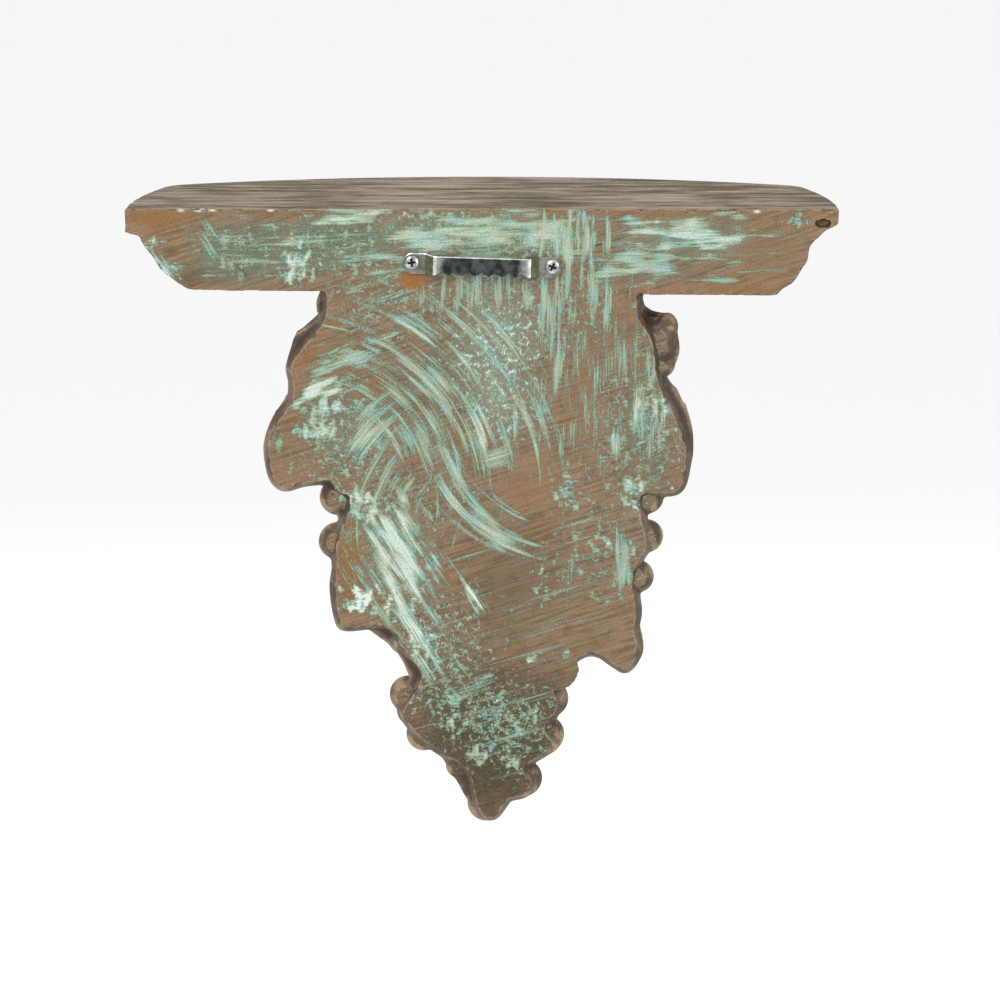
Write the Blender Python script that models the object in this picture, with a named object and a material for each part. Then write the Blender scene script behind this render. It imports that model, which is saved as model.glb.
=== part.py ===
"""Corbel shelf, cast in one piece: a moulded shelf on a bracket of vine leaves and grapes, with a flat back.

A steel saw-tooth hanger is screwed to the back. The origin is the point of the hanger's middle notch,
on the plane of the flat back. +Y points out of the back to the wall, +Z up and +X to the left of
someone who looks at the back.
"""

import math
import random

import bmesh
import bpy
from mathutils import Euler, Matrix, Vector, geometry

# The shelf board and the moulding under it
SHELF_WIDTH = 0.300
SHELF_DEPTH = 0.125
SHELF_TOP = 0.0265
BOARD_THICKNESS = 0.010
MOULDING_HEIGHT = 0.0254
MOULDING_INSET = 0.029
FRONT_RADIUS = 0.285
END_TAPER = 0.0133
CORNER_ROUND = 0.008

# The carved bracket under the moulding
BODY_WIDTH = 0.180
BODY_HEIGHT = 0.2294
BODY_DEPTH = 0.080
BACKING_THICKNESS = 0.0095
BACKING_FLARE = 0.0030
GRAPE_RADIUS = 0.0091
LEAF_LIFT = 0.0065
VEIN_DEPTH = 0.0026
BUBBLE_FROM_END = 0.0068
BUBBLE_FROM_TOP = 0.0061
BUBBLE_SIZE = (0.0030, 0.0035, 0.0013)
BUBBLE_TILT = math.radians(-20)

# The saw-tooth hanger
HANGER_BRIDGE = 0.0395
HANGER_LEG_RUN = 0.0042
HANGER_TAB = 0.0092
HANGER_WIDTH = 0.0088
HANGER_BRIDGE_TRIM = 0.0008
HANGER_THICKNESS = 0.0010
HANGER_RISE = 0.0030
HANGER_TILT = math.radians(1.7)
TOOTH_COUNT = 7
TOOTH_DEPTH = 0.0016

# The two pan-head screws
SCREW_ALONG_TAB = 0.61
SCREW_UP_TAB = 0.557
SCREW_HEAD_RADIUS = 0.0031
SCREW_HEAD_HEIGHT = 0.0019
SCREW_SHANK_RADIUS = 0.0014
SCREW_SHANK_LENGTH = 0.0120
RECESS_LENGTH = 0.61
RECESS_WIDTH = 0.16
RECESS_DEPTH = 0.58
LEFT_SCREW_TURN = math.radians(8)
RIGHT_SCREW_TURN = math.radians(-22)

# Clearances
CONTACT_GAP = 0.0003
HOLE_CLEARANCE = 0.0004

BODY_TOP = SHELF_TOP - BOARD_THICKNESS - MOULDING_HEIGHT
SCREW_X = HANGER_BRIDGE / 2 + HANGER_LEG_RUN + HANGER_TAB * SCREW_ALONG_TAB
SCREW_Z = HANGER_WIDTH * SCREW_UP_TAB - TOOTH_DEPTH

# The carving is drawn in millimetres on a bracket of this size: x from the middle, down from the moulding.
# Every drawn point is then taken as a share of the bracket's width, height and depth.
DRAWN_WIDTH = 179.0
DRAWN_HEIGHT = 224.5
DRAWN_DEPTH = 77.0

# Each end of the moulding is worn in its own way: shares of the inset and of the height, down the profile
LEFT_END = [
    (0.00, 0.00), (0.09, 0.04), (0.20, 0.07), (0.23, 0.15), (0.28, 0.25), (0.34, 0.33), (0.40, 0.42),
    (0.50, 0.61), (0.59, 0.70), (0.67, 0.78), (0.76, 0.85), (0.89, 0.94), (0.99, 0.97),
]
RIGHT_END = [
    (0.01, -0.15), (0.07, -0.10), (0.20, -0.03), (0.30, 0.09), (0.41, 0.21), (0.43, 0.31), (0.46, 0.48),
    (0.53, 0.59), (0.59, 0.72), (0.68, 0.85), (0.83, 0.96), (0.90, 1.04), (1.03, 1.05),
]

# Edge of the flat back, from the moulding down the left side, round the tip and up the right side
BACK_EDGE = [
    (65.5, -9), (65, 6), (67, 13.5), (71.5, 19), (78, 27), (80, 32.5), (79, 38), (80, 46.5), (85.5, 53.5),
    (89, 62), (89.5, 68), (88, 76.5), (85.5, 80.5), (82, 81.5), (75, 79.5), (61, 78.5), (57, 82), (56, 90),
    (60, 101), (61.5, 108), (61, 116), (62, 125), (60, 138), (57, 140.5), (45, 139.5), (38, 141.5),
    (33, 150), (26, 159), (27, 165), (33.5, 176), (31, 181), (26, 187), (15, 195), (10, 197.5), (5, 203.5),
    (3.5, 210), (1.5, 216.5), (-1, 220.5), (-5, 220.5), (-8.5, 216), (-11, 213), (-18, 211), (-20, 206),
    (-17.5, 199.5), (-26.5, 193.5), (-30.5, 190), (-26.5, 183.5), (-31.5, 174), (-29, 161.5), (-35, 156.5),
    (-43, 151.5), (-49.5, 151.5), (-56.5, 156), (-61, 158), (-65, 152.5), (-65.5, 148), (-64, 141.5),
    (-65, 134), (-63.5, 121.5), (-65, 113.5), (-69, 105.5), (-67, 94), (-66, 87), (-68.5, 83.5),
    (-77, 83.5), (-83, 81.5), (-85.5, 71), (-85, 62), (-80, 50), (-75, 40), (-73, 33), (-72, 24),
    (-70, 17.5), (-65, 8.5), (-65.5, -9),
]

# Grapes that show past the back: x, down, radius and how far in front of the back, in drawn millimetres
RIM_GRAPES = [
    (61.5, 87, 7.2, 9), (61.3, 105, 7.8, 9), (59.6, 121, 7.2, 9), (57, 135.5, 7.6, 9), (33.2, 146.5, 6.7, 8),
    (31.9, 170, 7.6, 9), (25.2, 187, 7.2, 9), (9.2, 199.5, 6.4, 8), (-1.7, 216, 8.3, 9), (-16.8, 205.5, 8.4, 9),
    (-26.5, 187, 8.4, 9), (-28.1, 171.5, 8.4, 9), (-63.8, 134.5, 6.9, 9), (-65.5, 120, 7.1, 9),
    (-69.2, 103, 7.2, 9), (-69.5, 87, 6.8, 9),
]

# The mass that the grapes lie on: down, half-width, depth and half-width of its foot, in drawn millimetres
MASS_SECTIONS = [
    (-9, 54, 76, 60), (30, 55, 77, 68), (70, 56, 73, 70), (95, 55, 66, 61), (115, 53, 58, 60),
    (135, 46, 49, 56), (152, 34, 40, 36), (172, 25, 31, 28), (190, 19, 22, 21), (205, 11, 14, 12),
    (219, 4, 9, 4),
]


def section_at(down):
    """Half-width and depth of the mass at a drawn height."""
    heights = [row[0] for row in MASS_SECTIONS]
    down = min(max(down, heights[0]), heights[-1])
    for upper, lower in zip(MASS_SECTIONS, MASS_SECTIONS[1:]):
        if down <= lower[0]:
            share = (down - upper[0]) / (lower[0] - upper[0])
            return tuple(a + (b - a) * share for a, b in zip(upper[1:3], lower[1:3]))
    return MASS_SECTIONS[-1][1:3]


def across(value):
    return value / DRAWN_WIDTH * BODY_WIDTH


def height(down):
    return BODY_TOP - down / DRAWN_HEIGHT * BODY_HEIGHT


def outward(value):
    return value / DRAWN_DEPTH * BODY_DEPTH


def material(name, colour, roughness, metallic=0.0):
    made = bpy.data.materials.new(name)
    made.use_nodes = True
    shader = made.node_tree.nodes["Principled BSDF"]
    shader.inputs["Base Color"].default_value = (*colour, 1.0)
    shader.inputs["Roughness"].default_value = roughness
    shader.inputs["Metallic"].default_value = metallic
    made.diffuse_color = (*colour, 1.0)
    return made


def add_object(name, mesh_builder, made_material=None):
    """Link a new object whose mesh is what the bmesh builder leaves, faces turned outwards."""
    mesh = bpy.data.meshes.new(name)
    bm = bmesh.new()
    mesh_builder(bm)
    bmesh.ops.recalc_face_normals(bm, faces=bm.faces)
    bm.to_mesh(mesh)
    bm.free()
    made = bpy.data.objects.new(name, mesh)
    bpy.context.scene.collection.objects.link(made)
    if made_material:
        mesh.materials.append(made_material)
    return made


def hide_cutter(cutter):
    cutter.hide_render = True
    cutter.display_type = "WIRE"


def boolean(target, cutter, operation, self_crossing=False):
    modifier = target.modifiers.new(cutter.name, "BOOLEAN")
    modifier.object = cutter
    modifier.operation = operation
    modifier.solver = "EXACT"
    modifier.use_self = self_crossing
    hide_cutter(cutter)


def loft(bm, rings):
    """Closed skin through rings of equal count, with a flat cap on the first and the last ring."""
    made = [[bm.verts.new(point) for point in ring] for ring in rings]
    for lower, upper in zip(made, made[1:]):
        for index in range(len(lower)):
            following = (index + 1) % len(lower)
            bm.faces.new((lower[index], lower[following], upper[following], upper[index]))
    bm.faces.new(made[0])
    bm.faces.new(reversed(made[-1]))


# Shelf

SHELF_END_STEPS = 2
SHELF_FRONT_STEPS = 5
CORNER_STEPS = 2
SHELF_OVERRUN = 0.004

# Front profile of the moulding, each step in shares of its inset and of its height
SOFFIT_DIP = (0.09, 0.02)
SOFFIT = (0.20, 0.05)
COVE = (0.20, 0.27)
FILLET = (0.03, 0.12)
COVE_TURNS = (0.35, 0.65, 1.0)
OVOLO_TURNS = (0.2, 0.4, 0.58, 0.74, 0.88, 1.0)


def smooth_step(share):
    share = min(max(share, 0.0), 1.0)
    return share * share * (3 - 2 * share)


def front_profile():
    """Flat soffit, cove, fillet and ovolo in shares of the moulding's inset and height."""

    def quarter(start, size, turn):
        angle = turn * math.pi / 2
        return (start[0] + size[0] * (1 - math.cos(angle)), start[1] + size[1] * math.sin(angle))

    cove = [quarter(SOFFIT, COVE, turn) for turn in COVE_TURNS]
    fillet = (cove[-1][0] + FILLET[0], cove[-1][1] + FILLET[1])
    rest = (1 - fillet[0], 1 - fillet[1])
    ovolo = [quarter(fillet, rest, turn) for turn in OVOLO_TURNS]
    return [(0.0, 0.0), SOFFIT_DIP, SOFFIT, *cove, fillet, *ovolo]


FRONT_PROFILE = front_profile()


def half_outline(inset):
    """Plan of the left half: along the end, round the corner and along the bowed front to the middle."""
    corner_x = SHELF_WIDTH / 2 - END_TAPER - inset
    radius = FRONT_RADIUS - inset
    centre_y = FRONT_RADIUS - SHELF_DEPTH

    def front(x):
        return Vector((x, centre_y - math.sqrt(radius * radius - x * x)))

    corner = front(corner_x)

    def end(share):
        return Vector((SHELF_WIDTH / 2 - inset - END_TAPER * share * share, share * corner.y))

    straight = 1 + CORNER_ROUND / corner.y
    points = [end(straight * step / SHELF_END_STEPS) for step in range(SHELF_END_STEPS)]
    before = end(straight)
    after = front(corner_x - CORNER_ROUND)
    for step in range(CORNER_STEPS + 1):
        share = step / CORNER_STEPS
        points.append(before * (1 - share) ** 2 + corner * 2 * share * (1 - share) + after * share * share)
    for step in range(1, SHELF_FRONT_STEPS + 1):
        points.append(front(after.x * (1 - step / SHELF_FRONT_STEPS)))
    return points


def shelf_ring(level):
    """One level of the shelf: 0 is the top, 1 the board's lower edge, and the rest follow the moulding."""
    count = len(half_outline(0.0))
    ring = []
    for side, order in ((1, range(count)), (-1, range(count - 2, -1, -1))):
        worn_end = LEFT_END if side > 0 else RIGHT_END
        for index in order:
            share = smooth_step(1.0 - index / (SHELF_END_STEPS + CORNER_STEPS + 1))
            inset_share = drop_share = 0.0
            if level > 0:
                worn = worn_end[level - 1]
                plain = FRONT_PROFILE[level - 1]
                inset_share = plain[0] + (worn[0] - plain[0]) * share
                drop_share = plain[1] + (worn[1] - plain[1]) * share
            point = half_outline(inset_share * MOULDING_INSET)[index]
            z = SHELF_TOP if level == 0 else SHELF_TOP - BOARD_THICKNESS - drop_share * MOULDING_HEIGHT
            ring.append(Vector((side * point.x, point.y, z)))
    first, last = ring[0], ring[-1]
    return [Vector((first.x, SHELF_OVERRUN, first.z)), *ring, Vector((last.x, SHELF_OVERRUN, last.z))]


def build_shelf(bm):
    loft(bm, [shelf_ring(level) for level in range(len(FRONT_PROFILE) + 1)])


# Backing slab and mass

CORE_STEPS = 8
CORE_BACK = BACKING_THICKNESS * 0.45
BACKING_OVERRUN = 0.006


def edge_normal(points, index):
    """Unit direction out of the outline at one of its points."""
    run = points[min(index + 1, len(points) - 1)] - points[max(index - 1, 0)]
    return Vector((-run.y, run.x)).normalized()


def build_backing(bm):
    """Slab behind the carving: its edge is drawn on the flat back, and its wall flares towards the front."""
    flat = [Vector((across(x), height(down))) for x, down in BACK_EDGE]
    flared = [point + edge_normal(flat, index) * BACKING_FLARE for index, point in enumerate(flat)]
    rings = [
        [Vector((point.x, BACKING_OVERRUN, point.y)) for point in flat],
        [Vector((point.x, 0.0, point.y)) for point in flat],
        [Vector((point.x, -BACKING_THICKNESS, point.y)) for point in flared],
    ]
    loft(bm, rings)


def build_core(bm):
    """Mass that carries the grapes: a half-round section on a wider foot, which narrows to the tip."""
    rings = []
    for down, half_width, depth, foot in MASS_SECTIONS:
        ring = []
        for step in range(CORE_STEPS + 1):
            angle = math.pi * step / CORE_STEPS
            spread = (foot - half_width) * (1 - math.sin(angle)) ** 2
            x = across(half_width + spread) * math.cos(angle)
            y = -CORE_BACK - (outward(depth) - CORE_BACK) * math.sin(angle)
            ring.append(Vector((x, y, height(down))))
        rings.append(ring)
    loft(bm, rings)


# Leaves

LEAF_FLOOR = BACKING_THICKNESS * 0.55
LEAF_BELL_SHARE = 1.03
LEAF_RIM_SHARE = 0.117
LEAF_CROWN_SHARE = 0.052
LEAF_SHOULDER = 0.85

# Outlines of the leaves in drawn millimetres, clockwise from the top, each with where its veins meet
SIDE_LEAF_LEFT = {
    "veins_meet": (52, 17),
    "edge": [
        (58, -6), (68.5, 2), (69.5, 8), (69, 11.5), (78, 18), (80.5, 24), (82.5, 32), (80, 38.5), (83, 45),
        (87.5, 51.5), (89.5, 60), (89, 68), (88, 77), (83, 81.5), (73, 80), (64, 76), (57, 71), (50, 80),
        (45, 88), (41, 78), (40, 66), (31, 66), (24, 59), (29, 49), (31, 38), (24, 28), (28, 14), (38, 2),
        (42, -6),
    ],
    "tips": [(78, 19), (88, 75), (45, 88), (24, 60), (24, 28)],
    "lift": 0.0,
}
SIDE_LEAF_RIGHT = {
    "veins_meet": (-51, 17),
    "edge": [
        (-58, -6), (-67, 4), (-70, 9.5), (-76.5, 10.5), (-81, 14), (-83, 23), (-81.5, 30), (-77, 34.5),
        (-82, 42), (-86, 48.5), (-88.5, 57), (-89, 67), (-87, 76), (-82, 82), (-74, 84), (-65, 78),
        (-58, 72), (-52, 82), (-47, 90), (-43, 80), (-41, 68), (-32, 68), (-25, 61), (-30, 50), (-32, 39),
        (-24, 29), (-28, 14), (-38, 2), (-42, -6),
    ],
    "tips": [(-82, 17), (-88, 74), (-47, 90), (-25, 62), (-24, 29)],
    "lift": 0.0,
}
MIDDLE_LEAF = {
    "veins_meet": (0, 18),
    "edge": [
        (0, -6), (14, -5), (26, -5), (36, 4), (34, 14), (43, 22), (47, 34), (39, 41), (30, 42), (36, 52),
        (35, 63), (26, 66), (18, 62), (12, 72), (8, 84), (-1, 94), (-9, 83), (-12, 71), (-19, 62),
        (-27, 67), (-37, 62), (-36, 51), (-30, 42), (-40, 42), (-48, 33), (-43, 21), (-34, 14), (-37, 3),
        (-26, -5), (-14, -5),
    ],
    "tips": [(35, 5), (46, 34), (34, 64), (-1, 93), (-35, 64), (-47, 33), (-36, 4)],
    "lift": 6.0,
}
LOWER_LEAF_LEFT = {
    "veins_meet": (46, 104),
    "edge": [
        (46, 92), (56, 98), (62, 108), (63.5, 118), (61, 126), (62, 136), (57, 142), (47, 139), (39, 141),
        (33, 134), (34, 122), (30, 112), (36, 100),
    ],
    "tips": [(62, 112), (58, 140), (35, 136), (31, 112)],
    "lift": -3.0,
}
LOWER_LEAF_RIGHT = {
    "veins_meet": (-48, 116),
    "edge": [
        (-48, 104), (-58, 108), (-64, 118), (-64, 130), (-66.5, 139), (-68.5, 149), (-66, 156), (-60, 158.5),
        (-52, 153), (-44, 151.5), (-36, 154), (-33, 146), (-36, 134), (-33, 122), (-40, 110),
    ],
    "tips": [(-64, 120), (-62, 157), (-67, 146), (-35, 152), (-34, 122)],
    "lift": -3.0,
}
LEAVES = [SIDE_LEAF_LEFT, SIDE_LEAF_RIGHT, MIDDLE_LEAF, LOWER_LEAF_LEFT, LOWER_LEAF_RIGHT]
LEAF_RINGS = (0.36, 0.72, 1.0)
LEAF_EDGE_DROP = 0.0020
VEIN_SPREAD_SHARE = 0.028
NARROW_LEAF_REACH = 0.45


def leaf_bed(x, down):
    """How far in front of the back a leaf would lie at a drawn point, flat at the sides, full in the middle."""
    half_width, depth = section_at(down)
    spread = NARROW_LEAF_REACH + (1 - NARROW_LEAF_REACH) * half_width / MASS_SECTIONS[2][1]
    reach = min(abs(x) / (DRAWN_WIDTH / 2 * LEAF_BELL_SHARE * spread), 1.0)
    bell = 0.5 + 0.5 * math.cos(math.pi * reach)
    rim = DRAWN_DEPTH * LEAF_RIM_SHARE
    crown = DRAWN_DEPTH * LEAF_CROWN_SHARE
    return rim + (depth - rim + crown) * bell ** LEAF_SHOULDER


def leaf_relief(point, leaf):
    """Fullness between the veins: 0 on a vein and 1 well away from it."""
    start = Vector(leaf["veins_meet"])
    nearest = 1e9
    for tip in leaf["tips"]:
        closest, share = geometry.intersect_point_line(point.to_3d(), start.to_3d(), Vector(tip).to_3d())
        share = min(max(share, 0.0), 1.0)
        foot = start + (Vector(tip) - start) * share
        nearest = min(nearest, (point - foot).length)
    return 1.0 - math.exp(-(nearest / (DRAWN_WIDTH * VEIN_SPREAD_SHARE)) ** 2)


def leaf_height(point, leaf, share):
    """Distance of the leaf's face from the flat back, for a point at a share of the way to its edge."""
    bed = outward(leaf_bed(point.x, point.y) + leaf["lift"])
    return bed + LEAF_LIFT - LEAF_EDGE_DROP * share ** 4 + VEIN_DEPTH * leaf_relief(point, leaf)


def build_leaf(bm, leaf):
    """Closed leaf: rings of its outline about the meeting of the veins, and a flat underside."""
    centre = Vector(leaf["veins_meet"])
    edge = [Vector(point) for point in leaf["edge"]]

    def vertex(point, y):
        return bm.verts.new((across(point.x), y, height(point.y)))

    middle = vertex(centre, -leaf_height(centre, leaf, 0.0))
    previous = None
    for share in LEAF_RINGS:
        ring = []
        for point in edge:
            inner = centre + (point - centre) * share
            ring.append(vertex(inner, -leaf_height(inner, leaf, share)))
        for index in range(len(ring)):
            following = (index + 1) % len(ring)
            if previous is None:
                bm.faces.new((middle, ring[index], ring[following]))
            else:
                bm.faces.new((previous[index], ring[index], ring[following], previous[following]))
        previous = ring
    floor = [vertex(point, -LEAF_FLOOR) for point in edge]
    for index in range(len(floor)):
        following = (index + 1) % len(floor)
        bm.faces.new((previous[index], floor[index], floor[following], previous[following]))
    bm.faces.new(floor)


# Grapes

GRAPE_CLOSENESS = 0.94
GRAPE_SIZE_RANGE = (0.94, 1.06)
GRAPE_SINK = 0.55
GRAPE_SHOWS = 0.55
GRAPE_ROWS = 90
GRAPE_PLACES_IN_ROW = 60
GRAPE_SEED = 7
GRAPES_START_SHARE = 0.18


def grape_places():
    """Centres and radii of the grapes: those of the rim as drawn, then the mass filled from the tip upwards."""
    draw = random.Random(GRAPE_SEED)
    made = [
        (Vector((across(x), -outward(forward), height(down))), across(radius))
        for x, down, radius, forward in RIM_GRAPES
    ]
    tip = MASS_SECTIONS[-1][0]
    top = DRAWN_HEIGHT * GRAPES_START_SHARE
    for row in range(GRAPE_ROWS):
        down = tip - (tip - top) * row / GRAPE_ROWS
        half_width, depth = section_at(down)
        first = draw.random()
        for index in range(GRAPE_PLACES_IN_ROW):
            angle = math.pi * ((index + first) / GRAPE_PLACES_IN_ROW - 0.5)
            radius = GRAPE_RADIUS * draw.uniform(*GRAPE_SIZE_RANGE)
            forward = CORE_BACK + outward(depth) * math.cos(angle) - radius * GRAPE_SINK
            centre = Vector((across(half_width) * math.sin(angle), -forward, height(down)))
            if all((centre - other).length > GRAPE_CLOSENESS * (radius + size) for other, size in made):
                made.append((centre, radius))
    return made


def under_leaf(centre, radius):
    """True where less than half of a grape would stand out of a leaf."""
    point = Vector((centre.x / BODY_WIDTH * DRAWN_WIDTH, (BODY_TOP - centre.z) / BODY_HEIGHT * DRAWN_HEIGHT))
    for leaf in LEAVES:
        edge = [Vector(corner) for corner in leaf["edge"]]
        inside = geometry.intersect_point_tri_2d
        middle = Vector(leaf["veins_meet"])
        covered = any(inside(point, middle, a, b) for a, b in zip(edge, edge[1:] + edge[:1]))
        if covered and leaf_height(point, leaf, LEAF_RINGS[1]) > -centre.y + radius * GRAPE_SHOWS:
            return True
    return False


def build_carving(bm):
    """The closed forms that the union with the shelf makes one."""
    build_backing(bm)
    build_core(bm)
    for leaf in LEAVES:
        build_leaf(bm, leaf)
    draw = random.Random(GRAPE_SEED + 1)
    for centre, radius in grape_places():
        if under_leaf(centre, radius):
            continue
        turn = Euler([draw.uniform(0, math.pi) for _ in range(3)]).to_matrix().to_4x4()
        bmesh.ops.create_icosphere(bm, subdivisions=2, radius=radius, matrix=Matrix.Translation(centre) @ turn)


# Casting

PILOT_SIDES = 12


def hanger_frame():
    """Place of the hanger: its strip coordinates, turned about the point under the middle notch."""
    return Matrix.Rotation(HANGER_TILT, 4, "Y").inverted()


def screw_hole(bm, place):
    """Cutter for a screw's shank, with clearance round it and past its end."""
    radius = SCREW_SHANK_RADIUS + HOLE_CLEARANCE
    depth = SCREW_SHANK_LENGTH + HOLE_CLEARANCE
    turn = Matrix.Rotation(math.pi / 2, 4, "X")
    bmesh.ops.create_cone(
        bm, cap_ends=True, segments=PILOT_SIDES, radius1=radius, radius2=radius, depth=depth * 2,
        matrix=place @ turn,
    )


def build_back_cutter(bm):
    """Everything behind the plane of the back."""
    reach = (SHELF_WIDTH + BODY_WIDTH + BODY_HEIGHT) * 2
    thickness = BACKING_OVERRUN * 3
    bmesh.ops.create_cube(bm, size=1.0)
    bmesh.ops.scale(bm, vec=(reach, thickness, reach), verts=bm.verts)
    bmesh.ops.translate(bm, vec=(0, thickness / 2, 0), verts=bm.verts)


def build_casting_holes(bm):
    """Blind holes for the screws and the open bubble near the right end of the board."""
    for side in (1, -1):
        screw_hole(bm, hanger_frame() @ Matrix.Translation((side * SCREW_X, 0.0, SCREW_Z)))
    place = Vector((BUBBLE_FROM_END - SHELF_WIDTH / 2, 0.0, SHELF_TOP - BUBBLE_FROM_TOP))
    scale = Matrix.Diagonal((*BUBBLE_SIZE, 1.0))
    tilt = Matrix.Rotation(BUBBLE_TILT, 4, "Y")
    bmesh.ops.create_icosphere(
        bm, subdivisions=2, radius=1.0, matrix=Matrix.Translation(place) @ tilt @ scale
    )


def make_casting():
    paint = material("painted_casting", (0.27, 0.19, 0.12), 0.75)
    casting = add_object("corbel_shelf", build_shelf, paint)
    boolean(casting, add_object("carving", build_carving), "UNION", self_crossing=True)
    boolean(casting, add_object("back_plane", build_back_cutter), "DIFFERENCE")
    boolean(casting, add_object("casting_holes", build_casting_holes), "DIFFERENCE")
    return casting


# Hanger

TAB_STEPS = 3
TAB_ROUND = 0.42
TAB_TIP_ANGLE = 20


def hanger_sections():
    """Sections along the strip from its right end: x, whether at a bend, height off the back, z of both edges."""
    foot = HANGER_BRIDGE / 2 + HANGER_LEG_RUN
    low = -TOOTH_DEPTH
    high = low + HANGER_WIDTH
    bridge_high = high - HANGER_BRIDGE_TRIM
    rounding = HANGER_WIDTH * TAB_ROUND
    middle = (low + high) / 2
    end = []
    for step in range(TAB_STEPS + 1):
        angle = math.radians(TAB_TIP_ANGLE + (90 - TAB_TIP_ANGLE) * step / TAB_STEPS)
        x = foot + HANGER_TAB - rounding + rounding * math.cos(angle)
        spread = HANGER_WIDTH / 2 * math.sin(angle)
        end.append((x, False, 0.0, middle - spread, middle + spread))
    end.append((foot, True, 0.0, low, high))
    end.append((HANGER_BRIDGE / 2, True, HANGER_RISE, low, bridge_high))
    teeth = []
    for step in range(1, 2 * TOOTH_COUNT):
        x = HANGER_BRIDGE / 2 - step * HANGER_BRIDGE / (2 * TOOTH_COUNT)
        rise = TOOTH_DEPTH if step % 2 == TOOTH_COUNT % 2 else 0.0
        teeth.append((x, False, HANGER_RISE, low + rise, bridge_high))
    other_end = [(-x, bend, off, bottom, top) for x, bend, off, bottom, top in reversed(end)]
    return end + teeth + other_end


def build_hanger(bm):
    """Bent strip: two round-ended tabs on the back, two sloping legs and a raised bridge with teeth below."""
    mitre = HANGER_THICKNESS * math.tan(math.atan2(HANGER_RISE, HANGER_LEG_RUN) / 2)
    rings = []
    for x, bend, off, bottom, top in hanger_sections():
        inner = CONTACT_GAP + off
        outer = inner + HANGER_THICKNESS
        outer_x = x + math.copysign(mitre, x) if bend else x
        rings.append([
            Vector((x, inner, bottom)), Vector((outer_x, outer, bottom)),
            Vector((outer_x, outer, top)), Vector((x, inner, top)),
        ])
    loft(bm, rings)


def build_hanger_holes(bm):
    for side in (1, -1):
        screw_hole(bm, Matrix.Translation((side * SCREW_X, 0.0, SCREW_Z)))


def make_hanger():
    steel = material("bright_steel", (0.62, 0.63, 0.64), 0.25, 1.0)
    hanger = add_object("saw_tooth_hanger", build_hanger, steel)
    holes = add_object("hanger_holes", build_hanger_holes)
    boolean(hanger, holes, "DIFFERENCE")
    hanger.matrix_world = hanger_frame()
    holes.matrix_world = hanger_frame()
    return hanger


# Screws

SCREW_SIDES = 12


def build_screw(bm):
    """Turned screw along +Y from its pointed end, with a domed pan head over the hanger's tab."""
    seat = CONTACT_GAP * 2 + HANGER_THICKNESS
    top = seat + SCREW_HEAD_HEIGHT
    profile = [
        (SCREW_SHANK_RADIUS * 0.25, seat - SCREW_SHANK_LENGTH),
        (SCREW_SHANK_RADIUS, seat - SCREW_SHANK_LENGTH * 0.8),
        (SCREW_SHANK_RADIUS, seat),
        (SCREW_HEAD_RADIUS, seat),
        (SCREW_HEAD_RADIUS, seat + SCREW_HEAD_HEIGHT * 0.40),
        (SCREW_HEAD_RADIUS * 0.80, seat + SCREW_HEAD_HEIGHT * 0.85),
        (SCREW_HEAD_RADIUS * 0.45, top),
    ]
    rings = []
    for radius, y in profile:
        turns = [2 * math.pi * (step + 0.5) / SCREW_SIDES for step in range(SCREW_SIDES)]
        rings.append([Vector((radius * math.cos(turn), y, radius * math.sin(turn))) for turn in turns])
    loft(bm, rings)


def build_recess(bm):
    """Cross-shaped cutter that reaches down from the top of the head."""
    top = CONTACT_GAP * 2 + HANGER_THICKNESS + SCREW_HEAD_HEIGHT
    half = SCREW_HEAD_RADIUS * RECESS_LENGTH
    arm = SCREW_HEAD_RADIUS * RECESS_WIDTH
    depth = SCREW_HEAD_HEIGHT * RECESS_DEPTH
    plan = [
        (half, -arm), (half, arm), (arm, arm), (arm, half), (-arm, half), (-arm, arm),
        (-half, arm), (-half, -arm), (-arm, -arm), (-arm, -half), (arm, -half), (arm, -arm),
    ]
    rings = []
    for y, share in ((top - depth, 0.7), (top + depth, 1.2)):
        rings.append([Vector((x * share, y, z * share)) for x, z in plan])
    loft(bm, rings)


def make_screw(name, side, turn):
    steel = material(name + "_steel", (0.66, 0.66, 0.66), 0.22, 1.0)
    place = hanger_frame() @ Matrix.Translation((side * SCREW_X, 0.0, SCREW_Z))
    place = place @ Matrix.Rotation(turn, 4, "Y")
    screw = add_object(name, build_screw, steel)
    recess = add_object(name + "_recess", build_recess)
    boolean(screw, recess, "DIFFERENCE")
    screw.matrix_world = place
    recess.matrix_world = place
    return screw


def clear_scene():
    for existing in list(bpy.data.objects):
        bpy.data.objects.remove(existing, do_unlink=True)


clear_scene()
make_casting()
make_hanger()
make_screw("hanger_screw_left", 1, LEFT_SCREW_TURN)
make_screw("hanger_screw_right", -1, RIGHT_SCREW_TURN)
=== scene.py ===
"""Corbel shelf of cast and painted resin, shown from behind with its saw-tooth hanger.

Lengths are in metres. The origin is the point under the hanger's middle notch, on the flat back.
+Y points out of the back to the wall, +Z up and +X to the left of someone who looks at the back.
"""

import math
import random

import bmesh
import bpy
import numpy as np
from mathutils import Matrix, Vector, geometry, kdtree, noise


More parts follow.
